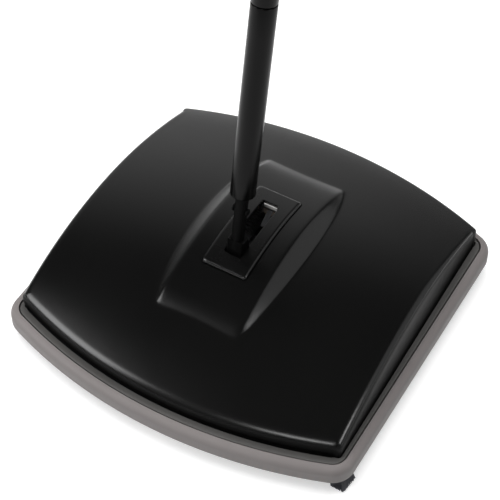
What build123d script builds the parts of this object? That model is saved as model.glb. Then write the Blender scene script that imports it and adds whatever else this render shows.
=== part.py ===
from build123d import *
import os
from math import cos, hypot, radians, sin, sqrt

os.makedirs("parts", exist_ok=True)

# Carpet sweeper, millimetres. The floor is z = 0 under the middle of the body.
# +X is the right hand side, -Y the front and +Y the side of the person who pushes it.

# Plan of the body: straight sides, bowed ends, round corners
body_width = 298.0
body_depth = 307.6
end_bow_radius = 394.0
corner_radius = 19.0
least_corner_radius = 4.0

# Rubber bumper round the lower edge
bumper_bottom = 16.0
bumper_top = 31.0
bumper_thickness = 6.6
bumper_shoulder_round = 6.0
bumper_under_round = 1.5
bumper_fit = 0.4

# Top cover: flange, gutter, low wall and a crown curved both ways
cover_wall = 2.4
flange_top = 30.4
flange_thickness = 2.6
flange_rim_round = 0.8
ledge_width = 4.4
gutter_width = 2.2
gutter_depth = 1.2
wall_draft = 1.2
crown_height = 80.9
crown_radius_along = 291.0
crown_radius_across = 893.0
crown_edge_round = 3.0

# Hump on the crown that the handle swings in
hump_height = 89.0
hump_arch_radius = 183.0
hump_half_width = 34.0
hump_flank_run = 20.0
hump_flank_fall = 15.0
hump_edge_round = 3.5
hump_foot = 40.0

# Plate with the handle's slot, seated in the hump
plate_half_width = 19.0
plate_front = -45.0
plate_rear = 42.0
plate_thickness = 3.0
plate_seat_depth = 1.0
plate_fit = 0.5
plate_corner_round = 2.5
plate_edge_round = 1.2
slot_half_width = 7.4
slot_front = -31.5
slot_rear = 27.0
slot_corner_round = 1.5
slot_relief = 1.0

# Base frame
skirt_wall = 3.0
frame_bottom = 15.0
rib_thickness = 2.6
rib_top = 40.0
deck_thickness = 3.0
deck_start = 72.0
deck_lap = 2.0

# Brush across the body
brush_axis_height = 31.0
brush_side_room = 44.5
brush_end_gap = 3.0
brush_core_radius = 11.0
brush_tip_radius = 30.4
brush_shaft_radius = 3.0
shaft_way_radius = 4.5
strand_rows = 4
strands_per_row = 75
strand_width = 1.7
strand_twist = 100.0
strand_root_depth = 1.5
core_slice = 2.0

# Wheels, and the rubber drums on the brush shaft that they turn
wheel_radius = 24.0
wheel_width = 14.0
wheel_side_gap = 1.4
tyre_thickness = 3.6
tyre_seat_gap = 0.05
tyre_edge_round = 1.2
hub_dish_depth = 4.0
hub_boss_radius = 7.0
hub_rim_wall = 3.0
hub_spokes = 6
hub_spoke_width = 3.0
drum_radius = 15.0
drive_gap = 0.3
axle_radius = 3.0
axle_head_radius = 5.0
axle_head_thickness = 2.0
axle_end_stand = 0.6
bush_radius = 6.0
bush_flange_radius = 8.0
bush_flange_thickness = 1.6
shaft_end_stand = 1.2
running_gap = 0.06
fixed_gap = 0.05

# Dust pans in front of and behind the brush
pan_floor_height = 9.0
pan_wall = 2.0
pan_front_room = 40.8
pan_front_top = 26.0
pan_lip_foot = 40.0
pan_lip_run = 6.8
pan_lip_rise = 11.0
pan_end_gap = 3.0
pan_hinge_room = 37.8
pan_hinge_height = 23.4
pan_eye_radius = 4.0
pan_eye_length = 14.0
pan_rod_radius = 2.0
pan_rod_stand = 1.0
comb_height = 2.0
comb_thickness = 2.0
comb_tooth_height = 3.0
comb_tooth_width = 4.0
comb_teeth = 24
comb_end_gap = 4.0
pan_spring_width = 16.0
pan_spring_leaf = 0.6
pan_spring_gap = 0.3
pan_spring_drop = 3.0

# Edging tufts at the four corners
edger_side_room = 19.0
edger_end_room = 50.8
edger_width = 13.0
edger_length = 15.0
edger_holder_bottom = 14.0
edger_backing = 2.0
edger_root_pitch = 1.5
edger_tip_pitch = 2.1
edger_splay_x = 12.5
edger_splay_y = 9.5
edger_across = 6
edger_along = 7
edger_strand = 0.8
edger_overlength = 3.0
edger_floor_gap = 0.6
holder_edge_round = 1.0

# Screws
cover_screw_side_room = 30.0
cover_screw_setback = 12.0
cover_boss_radius = 4.5
bracket_screw_x = 17.0
bracket_screw_y = 27.0
bracket_boss_radius = 4.0
screw_radius = 1.5
screw_hole_gap = 0.1
screw_head_radius = 3.2
screw_head_height = 2.2
screw_grip = 12.0
bracket_screw_grip = 3.0

# Handle, leaning back from its pivot inside the hump
handle_lean = 10.4
pivot_y = -28.8
pivot_z = 70.0
pivot_pin_radius = 3.0
pin_end_stand = 1.5
knuckle_half_width = 6.7
knuckle_eye_radius = 7.0
knuckle_front = 4.5
knuckle_heel = 10.0
knuckle_heel_height = 15.0
knuckle_shoulder = 22.0
knuckle_top = 31.0
knuckle_edge_round = 1.5
neck_radius = 4.9
tube_start = 73.0
tube_joint_one = 236.0
tube_joint_two = 560.0
tube_end = 1000.0
tube_radius = 9.5
tube_wall = 1.0
tube_fit = 0.1
swage_length = 30.0
spigot_length = 28.0
rivet_height = 58.0
rivet_radius = 1.6
rivet_head_radius = 3.0
rivet_head_height = 1.6
grip_start = 868.0
grip_radius = 12.6
grip_end_round = 2.5
grip_grooves = 12
grip_groove_pitch = 9.0
grip_groove_radius = 1.0
hang_hole_radius = 4.5
hang_eye_height = 24.0
hang_eye_radius = 10.5
hang_eye_half_width = 6.0
hang_collar = 5.0
hang_edge_round = 1.5

# Bracket, pin and leaf spring under the slot
bracket_gap = 0.3
bracket_cheek = 2.4
bracket_front = -44.0
bracket_rear = 33.0
bracket_bottom = 64.0
bracket_top = 80.0
bracket_flange_width = 24.0
bracket_flange_thickness = 2.5
bracket_bar = 4.0
bracket_bar_bottom = 73.0
leaf_seat = 82.3
leaf_thickness = 0.8
leaf_half_width = 5.6
leaf_lip_gap = 0.3
leaf_lip_top = 87.6
leaf_tongue_half_width = 2.2
leaf_tip = 14.0
leaf_tip_height = 75.0

# Places worked out from the sizes above
half_width = body_width / 2
half_depth = body_depth / 2
rim_inset = bumper_thickness + bumper_fit
wall_inset = rim_inset + ledge_width + gutter_width
frame_top = flange_top - flange_thickness
deck_bottom = frame_top - deck_thickness
brush_half_length = half_width - brush_side_room
inner_rib_x = brush_half_length + brush_end_gap
wheel_inner_x = inner_rib_x + rib_thickness + wheel_side_gap
wheel_outer_x = wheel_inner_x + wheel_width
outer_rib_x = wheel_outer_x + wheel_side_gap
rib_outside_x = outer_rib_x + rib_thickness
drive_rise = brush_axis_height - wheel_radius
wheel_y = sqrt((wheel_radius + drum_radius + drive_gap) ** 2 - drive_rise ** 2)
skirt_inset = rim_inset + skirt_wall
pan_half_length = inner_rib_x - pan_end_gap
pan_front_distance = half_depth - pan_front_room
pan_hinge_distance = half_depth - pan_hinge_room
pan_lip_top = pan_floor_height + pan_lip_rise
pan_lip_edge = pan_lip_foot - pan_lip_run
edger_x = half_width - edger_side_room
edger_y = half_depth - edger_end_room
cover_screw_x = half_width - cover_screw_side_room
cover_screw_y = deck_start + cover_screw_setback
cheek_inside = knuckle_half_width + bracket_gap
cheek_outside = cheek_inside + bracket_cheek
arch_centre_z = hump_height - hump_arch_radius
lean_sin = sin(radians(handle_lean))
lean_cos = cos(radians(handle_lean))
handle_plane = Plane(
    origin=(0, pivot_y, pivot_z), x_dir=(1, 0, 0), z_dir=(0, lean_sin, lean_cos)
)


def save(block, label):
    """Label a finished piece and write its file."""
    block.part.label = label
    export_step(block.part, f"parts/{label}.step")


def plan_outline(inset):
    """Plan of the body drawn in by an inset."""
    side = half_width - inset
    apex = half_depth - inset
    bow = end_bow_radius - inset
    corner_y = apex - bow + sqrt(bow ** 2 - side ** 2)
    with BuildSketch() as plan:
        with BuildLine():
            ThreePointArc((-side, -corner_y), (0, -apex), (side, -corner_y))
            Line((side, -corner_y), (side, corner_y))
            ThreePointArc((side, corner_y), (0, apex), (-side, corner_y))
            Line((-side, corner_y), (-side, -corner_y))
        make_face()
        fillet(plan.vertices(), max(corner_radius - inset, least_corner_radius))
    return plan.sketch


def crown_barrel(drop):
    """Barrel whose top is the crown of the cover, drawn in by a drop."""
    axis_z = crown_height - crown_radius_along
    top = crown_height - drop
    radius = crown_radius_across - drop
    edge_z = top - radius + sqrt(radius ** 2 - half_width ** 2)
    with BuildPart() as barrel:
        with BuildSketch(Plane.XZ):
            with BuildLine():
                ThreePointArc((-half_width, edge_z), (0, top), (half_width, edge_z))
                Line((half_width, edge_z), (half_width, axis_z))
                Line((half_width, axis_z), (-half_width, axis_z))
                Line((-half_width, axis_z), (-half_width, edge_z))
            make_face()
        revolve(axis=Axis((0, 0, axis_z), (1, 0, 0)))
    return barrel.part


def arch_face(plane, drop):
    """Face under the hump's arch on a plane across X, lowered by a drop."""
    radius = hump_arch_radius - drop
    rise = hump_foot - arch_centre_z
    reach = sqrt(radius ** 2 - rise ** 2)
    with BuildSketch(plane) as face:
        with BuildLine():
            ThreePointArc((-reach, hump_foot), (0, arch_centre_z + radius), (reach, hump_foot))
            Line((reach, hump_foot), (-reach, hump_foot))
        make_face()
    return face.sketch


def hump_form(wall, edge_round):
    """Solid of the hump, drawn in by a wall: flat on top, with sloping flanks."""
    side = hump_half_width - wall / 2
    with BuildPart() as form:
        add(arch_face(Plane.YZ.offset(-side), wall))
        extrude(amount=2 * side, dir=(1, 0, 0))
        for sign in (-1, 1):
            add(arch_face(Plane.YZ.offset(sign * side), wall))
            add(arch_face(Plane.YZ.offset(sign * (side + hump_flank_run)), wall + hump_flank_fall))
            loft(ruled=True)
        if edge_round > 0:
            arcs = form.edges().filter_by(GeomType.CIRCLE)
            reach = wall + edge_round
            shoulders = arcs.filter_by(lambda edge: abs(abs(edge.center().X) - side) < reach)
            fillet(shoulders, edge_round)
    return form.part


def cover_form(wall):
    """Solid of the cover above the frame, drawn in by a wall, without the hump."""
    with BuildPart() as form:
        with BuildSketch(Plane.XY.offset(frame_top)):
            add(plan_outline(wall_inset + wall))
        extrude(amount=crown_height, taper=wall_draft)
        add(crown_barrel(wall), mode=Mode.INTERSECT)
        crown = form.faces().sort_by(Axis.Z)[-1]
        fillet(crown.edges(), crown_edge_round)
    return form.part


def plate_block(margin):
    """Block over the hump with the plate's plan, grown by a margin."""
    length = plate_rear - plate_front + 2 * margin
    with BuildSketch(Plane.XY.offset(bracket_top - plate_thickness)) as plan:
        with Locations((0, (plate_front + plate_rear) / 2)):
            RectangleRounded(2 * (plate_half_width + margin), length, plate_corner_round)
    return extrude(plan.sketch, amount=hump_height, mode=Mode.PRIVATE)


def arch_ring(start, thickness):
    """Curved slab that follows the hump's arch, from a height above it."""
    with BuildPart() as ring:
        with BuildSketch(Plane.YZ):
            with Locations((0, arch_centre_z)):
                Circle(hump_arch_radius + start + thickness)
                Circle(hump_arch_radius + start, mode=Mode.SUBTRACT)
        extrude(amount=hump_half_width, both=True)
    return ring.part


def slot_outline(margin):
    """Plan of the handle's slot, grown by a margin."""
    with BuildSketch() as slot:
        with Locations((0, (slot_front + slot_rear) / 2)):
            RectangleRounded(
                2 * (slot_half_width + margin), slot_rear - slot_front + 2 * margin, slot_corner_round
            )
    return slot.sketch


# Top cover
outer_form = cover_form(0)
middle_form = cover_form(cover_wall / 2)
inner_form = cover_form(cover_wall)
hump_outside = hump_form(0, hump_edge_round)
hump_middle = hump_form(cover_wall / 2, 0)
hump_inside = hump_form(cover_wall, 0)

with BuildPart() as cover_bosses:
    with BuildSketch(Plane.XY.offset(frame_top)):
        with GridLocations(2 * cover_screw_x, 2 * cover_screw_y, 2, 2):
            Circle(cover_boss_radius)
    extrude(amount=crown_height)
    add(middle_form, mode=Mode.INTERSECT)

with BuildPart() as bracket_bosses:
    with BuildSketch(Plane.XY.offset(bracket_top)):
        with GridLocations(2 * bracket_screw_x, 2 * bracket_screw_y, 2, 2):
            Circle(bracket_boss_radius)
    extrude(amount=hump_height)
    add(hump_middle, mode=Mode.INTERSECT)

with BuildPart() as plate_seat:
    add(plate_block(plate_fit))
    add(arch_ring(-plate_seat_depth, plate_thickness), mode=Mode.INTERSECT)

with BuildPart() as top_cover:
    with BuildSketch(Plane.XY.offset(frame_top)):
        add(plan_outline(rim_inset))
    extrude(amount=flange_thickness)
    rim = top_cover.faces().sort_by(Axis.Z)[-1]
    fillet(rim.edges(), flange_rim_round)
    with BuildSketch(Plane.XY.offset(flange_top - gutter_depth)):
        add(plan_outline(rim_inset + ledge_width))
    extrude(amount=gutter_depth, mode=Mode.SUBTRACT)
    add(outer_form)
    add(hump_outside)
    add(inner_form, mode=Mode.SUBTRACT)
    add(hump_inside, mode=Mode.SUBTRACT)
    add(cover_bosses.part)
    add(bracket_bosses.part)
    add(plate_seat.part, mode=Mode.SUBTRACT)
    with BuildSketch(Plane.XY.offset(bracket_top)):
        add(slot_outline(slot_relief))
    extrude(amount=hump_height, mode=Mode.SUBTRACT)
    with BuildSketch(Plane.XY.offset(frame_top)):
        with GridLocations(2 * cover_screw_x, 2 * cover_screw_y, 2, 2):
            Circle(screw_radius + fixed_gap)
    extrude(amount=screw_grip, mode=Mode.SUBTRACT)
    with BuildSketch(Plane.XY.offset(bracket_top)):
        with GridLocations(2 * bracket_screw_x, 2 * bracket_screw_y, 2, 2):
            Circle(screw_radius + fixed_gap)
    extrude(amount=bracket_screw_grip, mode=Mode.SUBTRACT)
save(top_cover, "top_cover")

# Bumper ring
with BuildPart() as bumper:
    with BuildSketch(Plane.XY.offset(bumper_bottom)):
        add(plan_outline(0))
    extrude(amount=bumper_top - bumper_bottom)
    fillet(bumper.faces().sort_by(Axis.Z)[-1].edges(), bumper_shoulder_round)
    fillet(bumper.faces().sort_by(Axis.Z)[0].edges(), bumper_under_round)
    with BuildSketch(Plane.XY.offset(bumper_bottom)):
        add(plan_outline(bumper_thickness))
    extrude(amount=bumper_top - bumper_bottom, mode=Mode.SUBTRACT)
save(bumper, "bumper")

# Base frame: skirt, four ribs along Y, decks in the corners
with BuildPart() as base_frame:
    with BuildSketch(Plane.XY.offset(frame_bottom)):
        add(plan_outline(rim_inset))
        add(plan_outline(skirt_inset), mode=Mode.SUBTRACT)
    extrude(amount=frame_top - frame_bottom)
    with BuildSketch(Plane.XY.offset(deck_bottom)):
        add(plan_outline(rim_inset))
        Rectangle(2 * inner_rib_x, body_depth, mode=Mode.SUBTRACT)
        Rectangle(body_width, 2 * deck_start, mode=Mode.SUBTRACT)
    extrude(amount=deck_thickness)
    with BuildSketch(Plane.XY.offset(frame_bottom)):
        add(plan_outline(rim_inset))
        Rectangle(2 * inner_rib_x, body_depth, mode=Mode.SUBTRACT)
        with Locations((inner_rib_x + rib_thickness + half_width / 2, 0)):
            Rectangle(half_width, body_depth, mode=Mode.SUBTRACT)
        with Locations((-inner_rib_x - rib_thickness - half_width / 2, 0)):
            Rectangle(half_width, body_depth, mode=Mode.SUBTRACT)
    extrude(amount=frame_top - frame_bottom)
    for sign in (-1, 1):
        for rib_x in (inner_rib_x, outer_rib_x):
            with BuildSketch(Plane.XY.offset(frame_bottom)):
                with Locations((sign * (rib_x + rib_thickness / 2), 0)):
                    Rectangle(rib_thickness, 2 * (deck_start + deck_lap))
            extrude(amount=rib_top - frame_bottom)
    with BuildSketch(Plane.YZ):
        with Locations((0, brush_axis_height)):
            Circle(shaft_way_radius)
        with Locations((-wheel_y, wheel_radius), (wheel_y, wheel_radius)):
            Circle(axle_radius + fixed_gap)
        hinge_at = [(-pan_hinge_distance, pan_hinge_height), (pan_hinge_distance, pan_hinge_height)]
        with Locations(*hinge_at):
            Circle(pan_rod_radius + fixed_gap)
    extrude(amount=rib_outside_x, both=True, mode=Mode.SUBTRACT)
    for sign in (-1, 1):
        with BuildSketch(Plane.YZ.offset(sign * outer_rib_x)):
            with Locations((0, brush_axis_height)):
                Circle(bush_radius)
        extrude(amount=sign * rib_thickness, mode=Mode.SUBTRACT)
    with BuildSketch(Plane.XY.offset(deck_bottom)):
        with GridLocations(2 * cover_screw_x, 2 * cover_screw_y, 2, 2):
            Circle(screw_radius + screw_hole_gap)
    extrude(amount=deck_thickness, mode=Mode.SUBTRACT)
save(base_frame, "base_frame")

# Plate on the hump, with the handle's slot
with BuildPart() as handle_plate:
    add(plate_block(0))
    add(arch_ring(-plate_seat_depth, plate_thickness), mode=Mode.INTERSECT)
    crown_face = handle_plate.faces().sort_by(Axis.Z)[-1]
    fillet(crown_face.edges(), plate_edge_round)
    with BuildSketch(Plane.XY.offset(bracket_top)):
        add(slot_outline(0))
    extrude(amount=hump_height, mode=Mode.SUBTRACT)
save(handle_plate, "handle_plate")

# Screws that hold the cover to the frame, from below
with BuildPart() as cover_screws:
    with BuildSketch(Plane.XY.offset(deck_bottom - screw_head_height)):
        with GridLocations(2 * cover_screw_x, 2 * cover_screw_y, 2, 2):
            Circle(screw_head_radius)
    extrude(amount=screw_head_height)
    with BuildSketch(Plane.XY.offset(deck_bottom)):
        with GridLocations(2 * cover_screw_x, 2 * cover_screw_y, 2, 2):
            Circle(screw_radius)
    extrude(amount=deck_thickness + screw_grip - fixed_gap)
save(cover_screws, "cover_screws")

# Bracket inside the hump: two cheeks, two bars and screw flanges
with BuildPart() as pivot_bracket:
    bracket_length = bracket_rear - bracket_front
    bracket_middle = (bracket_rear + bracket_front) / 2
    with BuildSketch(Plane.XY.offset(bracket_bottom)):
        for sign in (-1, 1):
            with Locations((sign * (cheek_inside + bracket_cheek / 2), bracket_middle)):
                Rectangle(bracket_cheek, bracket_length)
    extrude(amount=bracket_top - bracket_bottom)
    with BuildSketch(Plane.XY.offset(bracket_top - bracket_flange_thickness)):
        for sign in (-1, 1):
            with Locations((sign * (cheek_inside + bracket_flange_width) / 2, bracket_middle)):
                Rectangle(bracket_flange_width - cheek_inside, bracket_length)
    extrude(amount=bracket_flange_thickness)
    with BuildSketch(Plane.XY.offset(bracket_bar_bottom)):
        with Locations((0, bracket_front + bracket_bar / 2)):
            Rectangle(2 * cheek_outside, bracket_bar)
    extrude(amount=bracket_top - bracket_bar_bottom)
    with BuildSketch(Plane.XY.offset(bracket_bar_bottom)):
        with Locations((0, bracket_rear - bracket_bar / 2)):
            Rectangle(2 * cheek_outside, bracket_bar)
    extrude(amount=leaf_seat - bracket_bar_bottom)
    with BuildSketch(Plane.YZ):
        with Locations((pivot_y, pivot_z)):
            Circle(pivot_pin_radius + fixed_gap)
    extrude(amount=cheek_outside, both=True, mode=Mode.SUBTRACT)
    with BuildSketch(Plane.XY.offset(bracket_bottom)):
        with GridLocations(2 * bracket_screw_x, 2 * bracket_screw_y, 2, 2):
            Circle(screw_radius + screw_hole_gap)
    extrude(amount=bracket_top - bracket_bottom, mode=Mode.SUBTRACT)
save(pivot_bracket, "pivot_bracket")

with BuildPart() as bracket_screws:
    flange_bottom = bracket_top - bracket_flange_thickness
    with BuildSketch(Plane.XY.offset(flange_bottom - screw_head_height)):
        with GridLocations(2 * bracket_screw_x, 2 * bracket_screw_y, 2, 2):
            Circle(screw_head_radius)
    extrude(amount=screw_head_height)
    with BuildSketch(Plane.XY.offset(flange_bottom)):
        with GridLocations(2 * bracket_screw_x, 2 * bracket_screw_y, 2, 2):
            Circle(screw_radius)
    extrude(amount=bracket_flange_thickness + bracket_screw_grip - fixed_gap)
save(bracket_screws, "bracket_screws")

with BuildPart() as handle_pivot_pin:
    with BuildSketch(Plane.YZ):
        with Locations((pivot_y, pivot_z)):
            Circle(pivot_pin_radius)
    extrude(amount=cheek_outside + pin_end_stand, both=True)
save(handle_pivot_pin, "handle_pivot_pin")

# Leaf spring on the bracket's rear bar: a lip up the slot's rear end, and a tongue down to the knuckle
leaf_lip_back = slot_rear - leaf_lip_gap
leaf_lip_face = leaf_lip_back - leaf_thickness
with BuildPart() as detent_spring:
    with BuildSketch(Plane.YZ):
        with BuildLine():
            Polyline(
                (bracket_rear, leaf_seat),
                (leaf_lip_face, leaf_seat),
                (leaf_lip_face, leaf_lip_top),
                (leaf_lip_back, leaf_lip_top),
                (leaf_lip_back, leaf_seat + leaf_thickness),
                (bracket_rear, leaf_seat + leaf_thickness),
                close=True,
            )
        make_face()
    extrude(amount=leaf_half_width, both=True)
    with BuildSketch(Plane.YZ):
        with BuildLine():
            Polyline(
                (leaf_lip_back, leaf_seat),
                (leaf_tip, leaf_tip_height),
                (leaf_tip, leaf_tip_height + leaf_thickness),
                (leaf_lip_back, leaf_seat + leaf_thickness),
                close=True,
            )
        make_face()
    extrude(amount=leaf_tongue_half_width, both=True)
save(detent_spring, "detent_spring")

# Handle knuckle: eye on the pin, heel, neck and the spigot in the lower tube
side_plane = Plane(
    origin=(0, pivot_y, pivot_z), x_dir=(0, lean_cos, -lean_sin), z_dir=(1, 0, 0)
)
with BuildPart() as handle_knuckle:
    with BuildSketch(side_plane):
        with BuildLine():
            Polyline(
                (-knuckle_front, 0),
                (-knuckle_front, knuckle_shoulder),
                (-neck_radius, knuckle_top),
                (neck_radius, knuckle_top),
                (knuckle_heel, knuckle_heel_height),
                (knuckle_eye_radius, 0),
                close=True,
            )
        make_face()
        Circle(knuckle_eye_radius)
    extrude(amount=knuckle_half_width, both=True)
    fillet(handle_knuckle.faces().filter_by(Axis.X).edges(), knuckle_edge_round)
    with BuildSketch(handle_plane.offset(knuckle_shoulder)):
        Circle(neck_radius)
    extrude(amount=tube_start - knuckle_shoulder)
    with BuildSketch(handle_plane.offset(tube_start)):
        Circle(tube_radius - tube_wall - tube_fit)
    extrude(amount=spigot_length)
    with BuildSketch(side_plane):
        Circle(pivot_pin_radius + running_gap)
        with Locations((0, rivet_height)):
            Circle(rivet_radius + fixed_gap)
    extrude(amount=tube_radius, both=True, mode=Mode.SUBTRACT)
save(handle_knuckle, "handle_knuckle")

with BuildPart() as neck_rivet:
    with BuildSketch(side_plane):
        with Locations((0, rivet_height)):
            Circle(rivet_radius)
    extrude(amount=neck_radius, both=True)
    for sign in (-1, 1):
        with BuildSketch(side_plane.offset(sign * neck_radius)):
            with Locations((0, rivet_height)):
                Circle(rivet_head_radius)
        extrude(amount=sign * rivet_head_height)
    fillet(neck_rivet.faces().sort_by(Axis.X)[0].edges(), rivet_head_height / 2)
    fillet(neck_rivet.faces().sort_by(Axis.X)[-1].edges(), rivet_head_height / 2)
save(neck_rivet, "neck_rivet")


def handle_tube(start, end, swaged):
    """Steel tube between two heights on the handle, with or without a swaged lower end."""
    with BuildPart() as tube:
        with BuildSketch(handle_plane.offset(start)):
            Circle(tube_radius)
            Circle(tube_radius - tube_wall, mode=Mode.SUBTRACT)
        extrude(amount=end - start)
        if swaged:
            swage_radius = tube_radius - tube_wall - tube_fit
            with BuildSketch(handle_plane.offset(start - swage_length)):
                Circle(swage_radius)
                Circle(swage_radius - tube_wall, mode=Mode.SUBTRACT)
            extrude(amount=swage_length)
            with BuildSketch(handle_plane.offset(start)):
                Circle(tube_radius)
                Circle(swage_radius - tube_wall, mode=Mode.SUBTRACT)
            extrude(amount=tube_wall)
    return tube


save(handle_tube(tube_start, tube_joint_one, False), "handle_tube_lower")
save(handle_tube(tube_joint_one, tube_joint_two, True), "handle_tube_middle")
save(handle_tube(tube_joint_two, tube_end, True), "handle_tube_upper")

# Soft grip over the top of the upper tube
with BuildPart() as handle_grip:
    with BuildSketch(handle_plane.offset(grip_start)):
        Circle(grip_radius)
    extrude(amount=tube_end - grip_start)
    ends = handle_grip.edges().filter_by(GeomType.CIRCLE)
    fillet(ends, grip_end_round)
    groove_first = (grip_start + tube_end - (grip_grooves - 1) * grip_groove_pitch) / 2
    for number in range(grip_grooves):
        groove_plane = handle_plane.offset(groove_first + number * grip_groove_pitch)
        with BuildSketch(Plane(groove_plane.origin, x_dir=side_plane.x_dir, z_dir=(1, 0, 0))):
            with Locations((grip_radius, 0)):
                Circle(grip_groove_radius)
        revolve(axis=Axis(groove_plane.origin, groove_plane.z_dir), mode=Mode.SUBTRACT)
    with BuildSketch(handle_plane.offset(grip_start)):
        Circle(tube_radius + fixed_gap)
    extrude(amount=tube_end - grip_start, mode=Mode.SUBTRACT)
save(handle_grip, "handle_grip")

# Cap in the tube's top end, with an eye to hang the sweeper by
with BuildPart() as hang_cap:
    with BuildSketch(side_plane):
        with Locations((0, tube_end + hang_eye_height)):
            Circle(hang_eye_radius)
        with Locations((0, tube_end + hang_eye_height / 2)):
            Rectangle(2 * hang_eye_radius, hang_eye_height)
    extrude(amount=hang_eye_half_width, both=True)
    fillet(hang_cap.faces().filter_by(Axis.X).edges(), hang_edge_round)
    with BuildSketch(handle_plane.offset(tube_end)):
        Circle(grip_radius)
    extrude(amount=hang_collar)
    with BuildSketch(handle_plane.offset(tube_end - spigot_length)):
        Circle(tube_radius - tube_wall - tube_fit)
    extrude(amount=spigot_length)
    with BuildSketch(side_plane):
        with Locations((0, tube_end + hang_eye_height)):
            Circle(hang_hole_radius)
    extrude(amount=hang_eye_half_width, both=True, mode=Mode.SUBTRACT)
save(hang_cap, "hang_cap")

# Brush: steel shaft, core, twisted rows of strands, rubber drums and bushes
shaft_half_length = rib_outside_x + shaft_end_stand
with BuildPart() as brush_shaft:
    with BuildSketch(Plane.YZ):
        with Locations((0, brush_axis_height)):
            Circle(brush_shaft_radius)
    extrude(amount=shaft_half_length, both=True)
save(brush_shaft, "brush_shaft")

with BuildPart() as brush_core:
    with BuildSketch(Plane.YZ):
        with Locations((0, brush_axis_height)):
            Circle(brush_core_radius - core_slice)
            Circle(brush_shaft_radius + fixed_gap, mode=Mode.SUBTRACT)
    extrude(amount=brush_half_length, both=True)
save(brush_core, "brush_core")

strand_step = (2 * brush_half_length - 2 * strand_width) / (strands_per_row - 1)
strand_planes = []
for row in range(strand_rows):
    for number in range(strands_per_row):
        strand_x = strand_width - brush_half_length + number * strand_step
        turn = radians(row * 360 / strand_rows + strand_twist * number / (strands_per_row - 1))
        outward = (0, cos(turn), sin(turn))
        root = brush_core_radius - strand_root_depth
        centre = (strand_x, root * cos(turn), brush_axis_height + root * sin(turn))
        strand_planes.append(Plane(centre, x_dir=(1, 0, 0), z_dir=outward))
with BuildPart() as brush_bristles:
    with BuildSketch(Plane.YZ):
        with Locations((0, brush_axis_height)):
            Circle(brush_core_radius)
            Circle(brush_core_radius - core_slice, mode=Mode.SUBTRACT)
    extrude(amount=brush_half_length, both=True)
    strand_length = brush_tip_radius - brush_core_radius + strand_root_depth
    strand_base = (Align.CENTER, Align.CENTER, Align.MIN)
    with Locations(*strand_planes):
        Box(strand_width, strand_width, strand_length, align=strand_base)
save(brush_bristles, "brush_bristles")

for side, sign in (("left", -1), ("right", 1)):
    with BuildPart() as drum:
        with BuildSketch(Plane.YZ.offset(sign * wheel_inner_x)):
            with Locations((0, brush_axis_height)):
                Circle(drum_radius)
                Circle(brush_shaft_radius + fixed_gap, mode=Mode.SUBTRACT)
        extrude(amount=sign * wheel_width)
    save(drum, f"drum_{side}")

    with BuildPart() as bush:
        with BuildSketch(Plane.YZ.offset(sign * outer_rib_x)):
            with Locations((0, brush_axis_height)):
                Circle(bush_radius - fixed_gap)
        extrude(amount=sign * rib_thickness)
        with BuildSketch(Plane.YZ.offset(sign * rib_outside_x)):
            with Locations((0, brush_axis_height)):
                Circle(bush_flange_radius)
        extrude(amount=sign * bush_flange_thickness)
        with BuildSketch(Plane.YZ.offset(sign * outer_rib_x)):
            with Locations((0, brush_axis_height)):
                Circle(brush_shaft_radius + running_gap)
        extrude(amount=sign * (rib_thickness + bush_flange_thickness), mode=Mode.SUBTRACT)
    save(bush, f"brush_bearing_{side}")

# Wheel axles, headed on the outside
with BuildPart() as wheel_axles:
    axle_start = inner_rib_x - axle_end_stand
    axle_length = rib_outside_x - axle_start
    for sign in (-1, 1):
        with BuildSketch(Plane.YZ.offset(sign * axle_start)):
            with Locations((-wheel_y, wheel_radius), (wheel_y, wheel_radius)):
                Circle(axle_radius)
        extrude(amount=sign * axle_length)
        with BuildSketch(Plane.YZ.offset(sign * rib_outside_x)):
            with Locations((-wheel_y, wheel_radius), (wheel_y, wheel_radius)):
                Circle(axle_head_radius)
        extrude(amount=sign * axle_head_thickness)
save(wheel_axles, "wheel_axles")

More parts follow.
